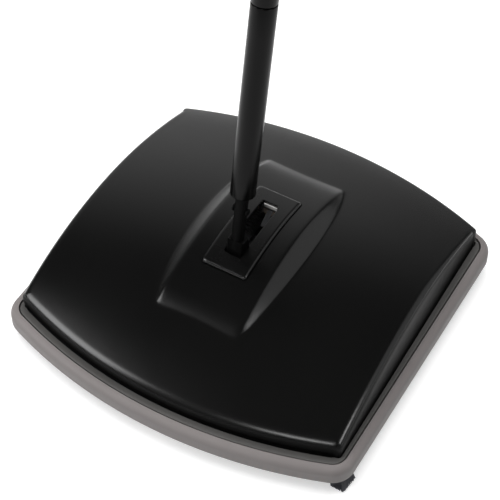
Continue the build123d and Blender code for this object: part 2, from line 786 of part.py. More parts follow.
# Wheels: dished hub with spokes, and its tyre
hub_radius = wheel_radius - tyre_thickness
corners = [
    ("front_left", -1, -1),
    ("front_right", 1, -1),
    ("rear_left", -1, 1),
    ("rear_right", 1, 1),
]
for corner, sign_x, sign_y in corners:
    wheel_face = Plane.YZ.offset(sign_x * wheel_inner_x)
    outer_face = Plane.YZ.offset(sign_x * wheel_outer_x)
    wheel_centre = (sign_y * wheel_y, wheel_radius)
    with BuildPart() as hub:
        with BuildSketch(wheel_face):
            with Locations(wheel_centre):
                Circle(hub_radius)
        extrude(amount=sign_x * wheel_width)
        dishes = ((wheel_face, sign_x * hub_dish_depth), (outer_face, -sign_x * hub_dish_depth))
        for dish_plane, depth in dishes:
            with BuildSketch(dish_plane):
                with Locations(wheel_centre):
                    Circle(hub_radius - hub_rim_wall)
                    Circle(hub_boss_radius, mode=Mode.SUBTRACT)
                    with PolarLocations(0, hub_spokes):
                        Rectangle(
                            2 * hub_radius,
                            hub_spoke_width,
                            align=(Align.MIN, Align.CENTER),
                            mode=Mode.SUBTRACT,
                        )
            extrude(amount=depth, mode=Mode.SUBTRACT)
        with BuildSketch(wheel_face):
            with Locations(wheel_centre):
                Circle(axle_radius + running_gap)
        extrude(amount=sign_x * wheel_width, mode=Mode.SUBTRACT)
    save(hub, f"wheel_{corner}")

    with BuildPart() as tyre:
        with BuildSketch(wheel_face):
            with Locations(wheel_centre):
                Circle(wheel_radius)
        extrude(amount=sign_x * wheel_width)
        fillet(tyre.edges().filter_by(GeomType.CIRCLE), tyre_edge_round)
        with BuildSketch(wheel_face):
            with Locations(wheel_centre):
                Circle(hub_radius + tyre_seat_gap)
        extrude(amount=sign_x * wheel_width, mode=Mode.SUBTRACT)
    save(tyre, f"tyre_{corner}")

    # Corner edger: holder under the deck, and a splayed tuft below it
    with BuildPart() as holder:
        with BuildSketch(Plane.XY.offset(edger_holder_bottom)):
            with Locations((sign_x * edger_x, sign_y * edger_y)):
                RectangleRounded(edger_width, edger_length, holder_edge_round)
        extrude(amount=deck_bottom - edger_holder_bottom)
    save(holder, f"edger_holder_{corner}")

    tuft_planes = []
    tuft_height = edger_holder_bottom - edger_floor_gap
    for across in range(edger_across):
        for along in range(edger_along):
            step_x = across - (edger_across - 1) / 2
            step_y = along - (edger_along - 1) / 2
            root_at = Vector(
                sign_x * (edger_x + step_x * edger_root_pitch),
                sign_y * (edger_y + step_y * edger_root_pitch),
                edger_holder_bottom - edger_backing / 2,
            )
            tip_at = Vector(
                sign_x * (edger_x + edger_splay_x + step_x * edger_tip_pitch),
                sign_y * (edger_y + edger_splay_y + step_y * edger_tip_pitch),
                edger_floor_gap,
            )
            tuft_planes.append(Plane(root_at, x_dir=(0, 1, 0), z_dir=tip_at - root_at))
    with BuildPart() as tuft:
        with BuildSketch(Plane.XY.offset(edger_holder_bottom - edger_backing)):
            with Locations((sign_x * edger_x, sign_y * edger_y)):
                RectangleRounded(edger_width, edger_length, holder_edge_round)
        extrude(amount=edger_backing)
        reach = hypot(hypot(edger_splay_x, edger_splay_y), tuft_height) + edger_overlength
        with Locations(*tuft_planes):
            Box(edger_strand, edger_strand, reach, align=strand_base)
        with BuildSketch(Plane.XY.offset(edger_floor_gap)):
            Rectangle(2 * body_width, 2 * body_depth)
        extrude(amount=-body_width, mode=Mode.SUBTRACT)
    save(tuft, f"edger_tuft_{corner}")

# Dust pans, each with a comb, a hinge rod and a leaf spring
for pan_name, sign in (("front", -1), ("rear", 1)):
    lip_wall = pan_wall * hypot(pan_lip_run, pan_lip_rise) / pan_lip_rise
    lip_slope = pan_lip_run / pan_lip_rise
    inside_floor = pan_floor_height + pan_wall
    inside_lip_foot = pan_lip_foot - pan_wall * lip_slope + lip_wall
    cut_top = 2 * pan_front_top
    hinge_centre = (sign * pan_hinge_distance, pan_hinge_height)
    with BuildPart() as pan:
        with BuildSketch(Plane.YZ):
            with BuildLine():
                Polyline(
                    (sign * pan_front_distance, pan_floor_height),
                    (sign * pan_lip_foot, pan_floor_height),
                    (sign * pan_lip_edge, pan_lip_top),
                    (sign * (pan_lip_edge + lip_wall), pan_lip_top),
                    (sign * pan_front_distance, pan_front_top),
                    close=True,
                )
            make_face()
        extrude(amount=pan_half_length, both=True)
        eye_centre_x = pan_half_length - pan_eye_length / 2
        for eye_x in (-eye_centre_x, 0, eye_centre_x):
            with BuildSketch(Plane.YZ.offset(eye_x)):
                with Locations(hinge_centre):
                    Circle(pan_eye_radius)
            extrude(amount=pan_eye_length / 2, both=True)
        with BuildSketch(Plane.YZ):
            with BuildLine():
                Polyline(
                    (sign * (pan_front_distance - pan_wall), inside_floor),
                    (sign * inside_lip_foot, inside_floor),
                    (sign * (pan_lip_edge + lip_wall), pan_lip_top),
                    (sign * (pan_lip_edge + lip_wall), cut_top),
                    (sign * (pan_front_distance - pan_wall), cut_top),
                    close=True,
                )
            make_face()
        extrude(amount=pan_half_length - pan_wall, both=True, mode=Mode.SUBTRACT)
        with BuildSketch(Plane.YZ):
            with Locations(hinge_centre):
                Circle(pan_rod_radius + running_gap)
        extrude(amount=pan_half_length, both=True, mode=Mode.SUBTRACT)
    save(pan, f"{pan_name}_pan")

    comb_half_length = pan_half_length - comb_end_gap
    comb_edge = sign * (pan_lip_edge + comb_thickness / 2)
    tooth_pitch = (2 * comb_half_length - comb_tooth_width) / (comb_teeth - 1)
    with BuildPart() as comb:
        with BuildSketch(Plane.XY.offset(pan_lip_top)):
            with Locations((0, comb_edge)):
                Rectangle(2 * comb_half_length, comb_thickness)
        extrude(amount=comb_height)
        with BuildSketch(Plane.XY.offset(pan_lip_top + comb_height)):
            with Locations((0, comb_edge)):
                with GridLocations(tooth_pitch, 0, comb_teeth, 1):
                    Rectangle(comb_tooth_width, comb_thickness)
        extrude(amount=comb_tooth_height)
    save(comb, f"{pan_name}_comb")

    with BuildPart() as rod:
        with BuildSketch(Plane.YZ):
            with Locations(hinge_centre):
                Circle(pan_rod_radius)
        extrude(amount=inner_rib_x + rib_thickness + pan_rod_stand, both=True)
    save(rod, f"{pan_name}_pan_rod")

    skirt_face = half_depth - skirt_inset - pan_spring_gap
    pan_face = pan_front_distance + pan_spring_gap
    with BuildPart() as spring:
        with BuildSketch(Plane.YZ):
            with BuildLine():
                Polyline(
                    (sign * skirt_face, frame_top - pan_spring_drop),
                    (sign * skirt_face, frame_bottom),
                    (sign * pan_face, pan_floor_height + pan_wall),
                    (sign * pan_face, pan_floor_height + pan_wall + pan_spring_leaf),
                    (sign * (skirt_face - pan_spring_leaf), frame_bottom + pan_spring_leaf),
                    (sign * (skirt_face - pan_spring_leaf), frame_top - pan_spring_drop),
                    close=True,
                )
            make_face()
        extrude(amount=pan_spring_width / 2, both=True)
    save(spring, f"{pan_name}_pan_spring")
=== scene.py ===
"""Looks of a push carpet sweeper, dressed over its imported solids.

Lengths are in metres, in the frame of the solids: +Z up from the floor, +X to the
right-hand side and -Y to the front.
"""
import logging
import math
from dataclasses import dataclass, field
from enum import Enum
from functools import cache

import bpy
import numpy as np
from bpy.types import Material, Node, NodeSocket, NodeTree, Object
from mathutils import Euler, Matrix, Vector
from numpy.typing import NDArray


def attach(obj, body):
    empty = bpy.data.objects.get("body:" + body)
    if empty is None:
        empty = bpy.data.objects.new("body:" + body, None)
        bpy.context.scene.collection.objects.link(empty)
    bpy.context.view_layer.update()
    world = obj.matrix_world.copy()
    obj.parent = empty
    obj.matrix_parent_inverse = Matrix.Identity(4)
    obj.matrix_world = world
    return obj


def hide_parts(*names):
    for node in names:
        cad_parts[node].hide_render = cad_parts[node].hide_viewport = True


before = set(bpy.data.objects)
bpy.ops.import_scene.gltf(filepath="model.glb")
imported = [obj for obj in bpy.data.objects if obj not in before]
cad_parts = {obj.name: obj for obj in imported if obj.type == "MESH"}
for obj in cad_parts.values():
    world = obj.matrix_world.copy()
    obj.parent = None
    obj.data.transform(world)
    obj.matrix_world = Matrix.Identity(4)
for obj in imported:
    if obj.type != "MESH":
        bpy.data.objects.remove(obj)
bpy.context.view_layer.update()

LOG = logging.getLogger("sweeper")

Array = NDArray[np.float64]
Faces = NDArray[np.int64]
Colour = tuple[float, float, float]
Point = tuple[float, float, float]
Feed = NodeSocket | float | tuple[float, ...]
Drives = tuple[NodeSocket, NodeSocket, NodeSocket]

X_AXIS = np.array([1.0, 0.0, 0.0])
Y_AXIS = np.array([0.0, 1.0, 0.0])
FULL_TURN = 2 * math.pi
SHARP_ANGLE = 40.0
STRAND_SHARP_ANGLE = 60.0
STRAND_SIDES = 4
NEARLY_ALONG_X = 0.9
NEAR_ZERO = 1e-12
MIDDLE_RANGE = (0.3, 0.7)


class Place(Enum):
    """A place on the body, which names the nodes that stand there."""

    @property
    def label(self) -> str:
        """The place's name as the solids' nodes hold it."""
        return self.name.lower()


class Corner(Place):
    """The four corners of the body, as signs of X and Y."""

    FRONT_LEFT = (-1, -1)
    FRONT_RIGHT = (1, -1)
    REAR_LEFT = (-1, 1)
    REAR_RIGHT = (1, 1)


class Side(Place):
    """The two sides of the body, as signs of X."""

    LEFT = -1
    RIGHT = 1


class End(Place):
    """The two ends of the body, as signs of Y."""

    FRONT = -1
    REAR = 1


def even_shares(count: int) -> Array:
    """Even shares from 0 to 1, both included."""
    return np.linspace(0, 1, count)


def inner_steps(low: float, high: float, count: int) -> Array:
    """Even steps from one value to another, without the two ends."""
    return np.linspace(low, high, count)[1:-1]


def full_turn(count: int) -> Array:
    """Angles of points evenly round a circle."""
    return np.linspace(0, FULL_TURN, count, endpoint=False)


def smooth_step(low: float, high: float, value: Array) -> Array:
    """Rise from 0 to 1 between two values, flat at both ends: 3t^2 - 2t^3.

    Args:
        low: Value at which the rise starts.
        high: Value at which it ends.
        value: Values to map.

    Returns:
        The mapped values.
    """
    share = np.clip((value - low) / (high - low), 0.0, 1.0)
    return share * share * (3.0 - 2.0 * share)


def smooth_larger(first: Array, second: Array, blend: Array | float) -> Array:
    """Larger of two heights, with the crease between them filled: half their sum plus
    half the root of their squared difference and the squared blend.

    Args:
        first: One height.
        second: The other height.
        blend: Width of the filled crease.

    Returns:
        The blended heights.
    """
    return 0.5 * (first + second + np.sqrt((first - second) ** 2 + blend ** 2))


def between(start: Array, end: Array, shares: Array) -> Array:
    """Straight lines from one ring of points to another, cut at some shares.

    Args:
        start: Ring at share 0, points by coordinates.
        end: Ring at share 1.
        shares: Shares to cut the lines at.

    Returns:
        One ring for each share.
    """
    return start + shares[:, None, None] * (end - start)


def bend(start: Array, corner: Array, end: Array, shares: Array) -> Array:
    """Round a corner with the parabola (1-t)^2 A + 2t(1-t) B + t^2 C.

    Args:
        start: Points where the bend leaves the first side.
        corner: Points where the two sides would meet.
        end: Points where the bend joins the second side.
        shares: Shares of the bend at which rings are wanted.

    Returns:
        One ring for each share.
    """
    share = shares[:, None, None]
    return (1 - share) ** 2 * start + 2 * share * (1 - share) * corner + share ** 2 * end


def with_height(plan: Array, height: Array | float) -> Array:
    """Points of a plan raised to a height.

    Args:
        plan: Points by X and Y.
        height: One height, or one for each point.

    Returns:
        Points by X, Y and Z.
    """
    level = np.broadcast_to(height, plan.shape[:-1])
    return np.concatenate([plan, level[..., None]], axis=-1)


def grid_quads(index: Faces) -> Faces:
    """Faces between neighbours in a grid of vertex numbers.

    Args:
        index: Vertex numbers, with rows and columns in its last two axes.

    Returns:
        The faces, four vertex numbers each.
    """
    corners = [index[..., :-1, :-1], index[..., :-1, 1:], index[..., 1:, 1:], index[..., 1:, :-1]]
    return np.stack(corners, axis=-1).reshape(-1, 4)


def outward_quads(points: Array, quads: Faces) -> Faces:
    """Turn the faces of a mesh outwards, by the sign of the volume they span from its middle.

    Args:
        points: Vertices of the mesh.
        quads: Its faces.

    Returns:
        The faces, reversed if they spanned a negative volume.
    """
    around = points - points.mean(axis=0)
    a, b, c, d = (around[quads[:, i]] for i in range(4))
    volume = np.einsum("ij,ij->", a, np.cross(b, c)) + np.einsum("ij,ij->", a, np.cross(c, d))
    return quads[:, ::-1] if volume < 0 else quads


def scene_object(name: str, data: bpy.types.ID) -> Object:
    """Object of a mesh, lamp or camera, linked to the scene at the origin.

    Args:
        name: Name of the object.
        data: The mesh, lamp or camera.

    Returns:
        The object.
    """
    made = bpy.data.objects.new(name, data)
    bpy.context.scene.collection.objects.link(made)
    return made


def mesh_object(
    name: str, points: Array, faces: Faces | list[list[int]], sharp_angle: float = SHARP_ANGLE
) -> Object:
    """Object of a mesh with smooth faces and sharp edges past an angle.

    Args:
        name: Name of the piece.
        points: Vertices.
        faces: Faces, as an array of quads or a list of polygons.
        sharp_angle: Angle, in degrees, past which an edge stays sharp.

    Returns:
        The object.
    """
    mesh = bpy.data.meshes.new(name)
    mesh.from_pydata(points, [], faces)
    mesh.shade_smooth()
    mesh.set_sharp_from_angle(angle=math.radians(sharp_angle))
    mesh.update()
    return scene_object(name, mesh)


def ring_surface(name: str, rings: Array, capped: bool = False) -> Object:
    """Closed surface through rings of points.

    Args:
        name: Name of the piece.
        rings: Rings by points by coordinates.
        capped: Whether flat faces close the first and last ring. Otherwise the last ring
            joins the first.

    Returns:
        The object.
    """
    rows, columns = rings.shape[:2]
    index = np.arange(rows * columns).reshape(rows, columns)
    quads = grid_quads(np.pad(index, ((0, 0 if capped else 1), (0, 1)), mode="wrap"))
    points = rings.reshape(-1, 3)
    outward = outward_quads(points, quads)
    if not capped:
        return mesh_object(name, points, outward)
    caps = np.stack([index[0, ::-1], index[-1]])
    if outward[0, 0] != quads[0, 0]:
        caps = caps[:, ::-1]
    return mesh_object(name, points, outward.tolist() + caps.tolist())


def strand_bundle(name: str, paths: Array, widths: Array) -> Object:
    """Square strands along paths, each closed at both ends.

    A ring of four points stands round each path point, across the strand's own chord.

    Args:
        name: Name of the piece.
        paths: Strands by path points by coordinates.
        widths: Width at each path point, the same for all strands.

    Returns:
        The object, with the share from root to tip in its attribute "reach".
    """
    strands, steps = paths.shape[:2]
    chord = paths[:, -1] - paths[:, 0]
    chord /= np.linalg.norm(chord, axis=1, keepdims=True)
    helper = np.where(np.abs(chord[:, :1]) < NEARLY_ALONG_X, X_AXIS, Y_AXIS)
    across = np.cross(chord, helper)
    across /= np.linalg.norm(across, axis=1, keepdims=True)
    beside = np.cross(chord, across)
    turn = full_turn(STRAND_SIDES)
    ring = np.cos(turn)[:, None] * across[:, None] + np.sin(turn)[:, None] * beside[:, None]
    reach = widths[None, :, None, None] / math.sqrt(2)
    points = (paths[:, :, None] + reach * ring[:, None]).reshape(-1, 3)
    index = np.arange(strands * steps * STRAND_SIDES).reshape(strands, steps, STRAND_SIDES)
    sides = grid_quads(np.concatenate([index, index[:, :, :1]], axis=2))
    quads = np.concatenate([sides, index[:, 0, ::-1], index[:, -1]])
    piece = mesh_object(name, points, outward_quads(points, quads), STRAND_SHARP_ANGLE)
    share = np.broadcast_to(even_shares(steps)[None, :, None], index.shape)
    attribute = piece.data.attributes.new("reach", "FLOAT", "POINT")
    attribute.data.foreach_set("value", share.astype(np.float32).ravel())
    return piece


def quarter_turn(along: float, out: float, radius: float, start: float, steps: int = 5) -> Array:
    """Quarter circle of a turned profile, run clockwise from a start angle.

    Args:
        along: Its centre's distance along the axis.
        out: Its centre's distance from the axis.
        radius: Its radius.
        start: Start angle in degrees, from the axis towards the outside.
        steps: Points on it, both ends included.

    Returns:
        Points by distance along the axis and from it.
    """
    turn = np.radians(np.linspace(start, start - 90.0, steps))
    return np.array([along, out]) + radius * np.stack([np.cos(turn), np.sin(turn)], axis=1)


def sleeve_profile(
    ends: tuple[float, float], radius: float, bore: float, soft: float, along: Array, dip: Array | float = 0.0
) -> Array:
    """Section of a sleeve: out round one end, along the outside, in round the other end and
    back along the bore.

    Args:
        ends: Distances of its two ends along the axis.
        radius: Radius of the outside.
        bore: Radius of the bore.
        soft: Radius of the rounded outer edges.
        along: Places on the outside between those edges.
        dip: How far the outside lies below its radius there.

    Returns:
        Points by distance along the axis and radius.
    """
    low, high = ends
    return np.concatenate([
        quarter_turn(low + soft, radius - soft, soft, 180.0),
        np.stack([along, np.broadcast_to(radius - dip, along.shape)], axis=1),
        quarter_turn(high - soft, radius - soft, soft, 90.0),
        np.array([[high, bore], [low, bore]]),
    ])


def lathe_rings(profile: Array, centre: Array, axis: Array, side: Array, columns: int) -> Array:
    """Rings of a turned shape: each profile point carried once round an axis.

    Args:
        profile: Points by distance along the axis and radius.
        centre: Point of the axis at distance 0.
        axis: Unit vector along the axis.
        side: Unit vector across the axis, where the turn starts.
        columns: Points in a ring.

    Returns:
        Rings by points by coordinates.
    """
    turn = full_turn(columns)
    radial = np.cos(turn)[:, None] * side + np.sin(turn)[:, None] * np.cross(axis, side)
    along = profile[:, None, :1] * axis
    return centre + along + profile[:, None, 1:] * radial


def feed(tree: NodeTree, target: NodeSocket, value: Feed) -> None:
    """Feed an input: link it to a socket, or set it to a constant.

    Args:
        tree: Tree that the input is in.
        target: The input.
        value: Socket or constant.
    """
    if isinstance(value, NodeSocket):
        tree.links.new(value, target)
    else:
        target.default_value = value


def add_node(
    tree: NodeTree, kind: str, inputs: dict[str | int, Feed] | None = None, **settings: object
) -> Node:
    """Place a node in a tree.

    Args:
        tree: The tree.
        kind: Last part of the name of the node's type.
        inputs: What feeds its inputs, by their names or places.
        settings: Its other properties, which are set first.

    Returns:
        The node.
    """
    node = tree.nodes.new(f"ShaderNode{kind}")
    for label, setting in settings.items():
        setattr(node, label, setting)
    for label, value in (inputs or {}).items():
        feed(tree, node.inputs[label], value)
    return node


def own_place(tree: NodeTree) -> NodeSocket:
    """The piece's own coordinates, in a tree."""
    return add_node(tree, "TexCoord").outputs["Object"]


class Effects:
    """Shader node groups that several finishes share, each built once."""

    SMUDGE_GAIN = 5.0

    @staticmethod
    def _group(name: str, inputs: dict[str, float], outputs: list[str]) -> tuple[NodeTree, Node, Node]:
        """Empty group with named float sockets.

        Args:
            name: Name of the group.
            inputs: Names of the inputs, with their default values.
            outputs: Names of the outputs.

        Returns:
            The group's tree, its input node and its output node.
        """
        tree = bpy.data.node_groups.new(name, "ShaderNodeTree")
        for label, value in inputs.items():
            socket = tree.interface.new_socket(label, in_out="INPUT", socket_type="NodeSocketFloat")
            socket.default_value = value
        for label in outputs:
            tree.interface.new_socket(label, in_out="OUTPUT", socket_type="NodeSocketFloat")
        return tree, tree.nodes.new("NodeGroupInput"), tree.nodes.new("NodeGroupOutput")

    @staticmethod
    def _noise(
        tree: NodeTree, place: NodeSocket, scale: NodeSocket, detail: float, roughness: float
    ) -> NodeSocket:
        """Noise over some coordinates.

        Args:
            tree: Tree to put it in.
            place: Coordinates.
            scale: Its scale.
            detail: Octaves of the noise.
            roughness: Weight of the finer octaves.

        Returns:
            The noise, from 0 to 1.
        """
        inputs = {"Vector": place, "Scale": scale, "Detail": detail, "Roughness": roughness}
        return add_node(tree, "TexNoise", inputs).outputs["Fac"]

    @classmethod
    @cache
    def moulded(cls) -> NodeTree:
        """Skin of a moulding: a fine grain to bump, and a slow drift of tone.

        Returns:
            Group with inputs Grain Scale and Drift Scale, and outputs Grain and Drift.
        """
        scales = {"Grain Scale": 900.0, "Drift Scale": 12.0}
        tree, entry, leave = cls._group("moulded_skin", scales, ["Grain", "Drift"])
        place = own_place(tree)
        grain = cls._noise(tree, place, entry.outputs["Grain Scale"], detail=3.0, roughness=0.6)
        drift = cls._noise(tree, place, entry.outputs["Drift Scale"], detail=2.0, roughness=0.5)
        tree.links.new(grain, leave.inputs["Grain"])
        tree.links.new(drift, leave.inputs["Drift"])
        return tree

    @classmethod
    @cache
    def handled(cls) -> NodeTree:
        """Marks of use: sparse soft smudges where a slow noise passes a level.

        Returns:
            Group with inputs Scale and Level, and output Smudge from 0 to 1.
        """
        tree, entry, leave = cls._group("handling_marks", {"Scale": 22.0, "Level": 0.55}, ["Smudge"])
        noise = cls._noise(tree, own_place(tree), entry.outputs["Scale"], detail=4.0, roughness=0.62)
        above = add_node(tree, "Math", {0: noise, 1: entry.outputs["Level"]}, operation="SUBTRACT")
        factors = {0: above.outputs["Value"], 1: cls.SMUDGE_GAIN}
        smudge = add_node(tree, "Math", factors, operation="MULTIPLY", use_clamp=True)
        tree.links.new(smudge.outputs["Value"], leave.inputs["Smudge"])
        return tree

    @classmethod
    @cache
    def drawn(cls) -> NodeTree:
        """Drawn lines on metal or grain in wood: noise stretched along X.

        Returns:
            Group with inputs Scale and Stretch, and output Lines.
        """
        tree, entry, leave = cls._group("drawn_lines", {"Scale": 1200.0, "Stretch": 0.03}, ["Lines"])
        squeeze = add_node(tree, "CombineXYZ", {"X": entry.outputs["Stretch"], "Y": 1.0, "Z": 1.0})
        factors = {0: own_place(tree), 1: squeeze.outputs["Vector"]}
        place = add_node(tree, "VectorMath", factors, operation="MULTIPLY").outputs["Vector"]
        lines = cls._noise(tree, place, entry.outputs["Scale"], detail=2.0, roughness=0.5)
        tree.links.new(lines, leave.inputs["Lines"])
        return tree


@dataclass
class ShaderBench:
    """One material's tree, with short calls that place and join its nodes."""

    name: str
    material: Material = field(init=False)
    tree: NodeTree = field(init=False)
    shader: Node = field(init=False)

    def __post_init__(self) -> None:
        """Make the material and find its Principled shader."""
        self.material = bpy.data.materials.new(self.name)
        self.material.use_nodes = True
        self.tree = self.material.node_tree
        self.shader = self.tree.nodes["Principled BSDF"]

    def effect(self, group: NodeTree, **values: float) -> bpy.types.NodeOutputs:
        """Place a shared effect with its own values.

        Args:
            group: The effect's node group.
            values: Input values, by socket name with underscores for spaces.

        Returns:
            The effect's outputs.
        """
        inputs = {label.replace("_", " "): value for label, value in values.items()}
        return add_node(self.tree, "Group", inputs, node_tree=group).outputs

    def map_range(self, source: NodeSocket, start: float, end: float, low: float, high: float) -> NodeSocket:
        """Map one range of a socket's values to another.

        Args:
            source: Socket to read.
            start: Value at the bottom of its range.
            end: Value at the top of its range.
            low: Mapped value at the bottom.
            high: Mapped value at the top.

        Returns:
            The mapped socket, which stays between low and high.
        """
        inputs = {"Value": source, "From Min": start, "From Max": end, "To Min": low, "To Max": high}
        return add_node(self.tree, "MapRange", inputs).outputs["Result"]

    def spread(self, source: NodeSocket, low: float, high: float) -> NodeSocket:
        """Map a socket's middle range to a range of values."""
        return self.map_range(source, *MIDDLE_RANGE, low, high)

    def blend_colour(self, share: NodeSocket, first: Colour, second: Colour) -> NodeSocket:
        """Mix two colours by a socket's middle range, from the first to the second."""
        inputs = {"A": (*first, 1.0), "B": (*second, 1.0), "Factor": self.spread(share, 0.0, 1.0)}
        return add_node(self.tree, "Mix", inputs, data_type="RGBA").outputs["Result"]

    def bump(self, height: NodeSocket, depth: float) -> NodeSocket:
        """Normal of a height from 0 to 1, with the depth of a full height in metres."""
        return add_node(self.tree, "Bump", {"Height": height, "Distance": depth}).outputs["Normal"]

    def shade(self, **values: Feed) -> None:
        """Feed the shader's inputs, by socket name with underscores for spaces."""
        for label, value in values.items():
            feed(self.tree, self.shader.inputs[label.replace("_", " ")], value)


@dataclass(frozen=True)
class SurfaceFinish:
    """What every finish has: two tones, a range of roughness and a bump."""

    name: str
    tone: Colour
    second_tone: Colour
    gloss: tuple[float, float]
    bump_depth: float = 0.00002
    specular: float = 0.5
    metallic: float = 0.0

    def drives(self, bench: ShaderBench) -> Drives:
        """Sockets that drive the tone, the roughness and the bump."""
        raise NotImplementedError

    def material(self) -> Material:
        """Build the material: its drives spread over the tones, the roughness and the bump.

        Returns:
            The material.
        """
        bench = ShaderBench(self.name)
        tone_drive, gloss_drive, height = self.drives(bench)
        bench.shade(
            Base_Color=bench.blend_colour(tone_drive, self.tone, self.second_tone),
            Roughness=bench.spread(gloss_drive, *self.gloss),
            Normal=bench.bump(height, self.bump_depth),
            Specular_IOR_Level=self.specular,
            Metallic=self.metallic,
        )
        return bench.material


@dataclass(frozen=True)
class MouldedFinish(SurfaceFinish):
    """A moulded plastic or rubber: two close tones that drift, and a grain."""

    grain_scale: float = 1400.0
    drift_scale: float = 14.0

    def drives(self, bench: ShaderBench) -> Drives:
        """The drift for tone and roughness, the grain for the bump."""
        skin = bench.effect(Effects.moulded(), Grain_Scale=self.grain_scale, Drift_Scale=self.drift_scale)
        return skin["Drift"], skin["Drift"], skin["Grain"]


@dataclass(frozen=True)
class GlossFinish(SurfaceFinish):
    """A polished black moulding or enamel: a clear gloss that soft smudges dull a little."""

    bump_depth: float = 0.000006
    grain_scale: float = 700.0
    drift_scale: float = 9.0
    smudge_scale: float = 20.0
    smudge_level: float = 0.4

    def drives(self, bench: ShaderBench) -> Drives:
        """The drift for tone, the smudges for roughness, the grain for the bump.

        Args:
            bench: Bench of the material.

        Returns:
            Sockets for the tone, the roughness and the bump.
        """
        skin = bench.effect(Effects.moulded(), Grain_Scale=self.grain_scale, Drift_Scale=self.drift_scale)
        marks = bench.effect(Effects.handled(), Scale=self.smudge_scale, Level=self.smudge_level)
        return skin["Drift"], marks["Smudge"], skin["Grain"]


@dataclass(frozen=True)
class MetalFinish(SurfaceFinish):
    """Plated or bright steel with drawn lines."""

    bump_depth: float = 0.000008
    metallic: float = 1.0
    line_scale: float = 1500.0
    stretch: float = 0.04
    mark_scale: float = 60.0
    mark_level: float = 0.5

    def drives(self, bench: ShaderBench) -> Drives:
        """Marks of use for tone, the drawn lines for roughness and bump.

        Args:
            bench: Bench of the material.

        Returns:
            Sockets for the tone, the roughness and the bump.
        """
        lines = bench.effect(Effects.drawn(), Scale=self.line_scale, Stretch=self.stretch)["Lines"]
        marks = bench.effect(Effects.handled(), Scale=self.mark_scale, Level=self.mark_level)
        return marks["Smudge"], lines, lines


@dataclass(frozen=True)
class PaintedShadeFinish(SurfaceFinish):
    """Spring steel painted dark below a height, as painted shade where it hangs in the slot, and bright zinc
    above.
    """

    bump_depth: float = 0.000008
    metallic: float = 0.45
    line_scale: float = 1500.0
    stretch: float = 0.04
    painted_shade_from: float = 0.0835
    painted_shade_to: float = 0.0858

    def drives(self, bench: ShaderBench) -> Drives:
        """The way up a band of heights for tone, painted dark below it as shade, the drawn lines for
        roughness and bump.

        Args:
            bench: Bench of the material.

        Returns:
            Sockets for the tone, the roughness and the bump.
        """
        lines = bench.effect(Effects.drawn(), Scale=self.line_scale, Stretch=self.stretch)["Lines"]
        parts = add_node(bench.tree, "SeparateXYZ", {"Vector": own_place(bench.tree)})
        # painted shade: the tone goes dark below this band of heights, where the slot shades the spring
        out_of_painted_shade = bench.map_range(parts.outputs["Z"], self.painted_shade_from, self.painted_shade_to, 0.0, 1.0)
        return out_of_painted_shade, lines, lines


@dataclass(frozen=True)
class WoodFinish(SurfaceFinish):
    """Bare turned wood with its grain along the brush."""

    bump_depth: float = 0.00012
    grain_scale: float = 420.0
    stretch: float = 0.05

    def drives(self, bench: ShaderBench) -> Drives:
        """The wood's grain for all three."""
        grain = bench.effect(Effects.drawn(), Scale=self.grain_scale, Stretch=self.stretch)["Lines"]
        return grain, grain, grain


@dataclass(frozen=True)
class StrandFinish(SurfaceFinish):
    """Stiff strands that pale a little from root to tip."""

    grain_scale: float = 2500.0
    drift_scale: float = 260.0

    def drives(self, bench: ShaderBench) -> Drives:
        """The share from root to tip for tone, the drift for roughness, the grain for the bump.

        Args:
            bench: Bench of the material.

        Returns:
            Sockets for the tone, the roughness and the bump.
        """
        reach = add_node(bench.tree, "Attribute", attribute_name="reach")
        skin = bench.effect(Effects.moulded(), Grain_Scale=self.grain_scale, Drift_Scale=self.drift_scale)
        return reach.outputs["Fac"], skin["Drift"], skin["Grain"]


BLACK: Colour = (0.0018, 0.0018, 0.0018)
SECOND_BLACK: Colour = (0.0024, 0.0024, 0.0023)


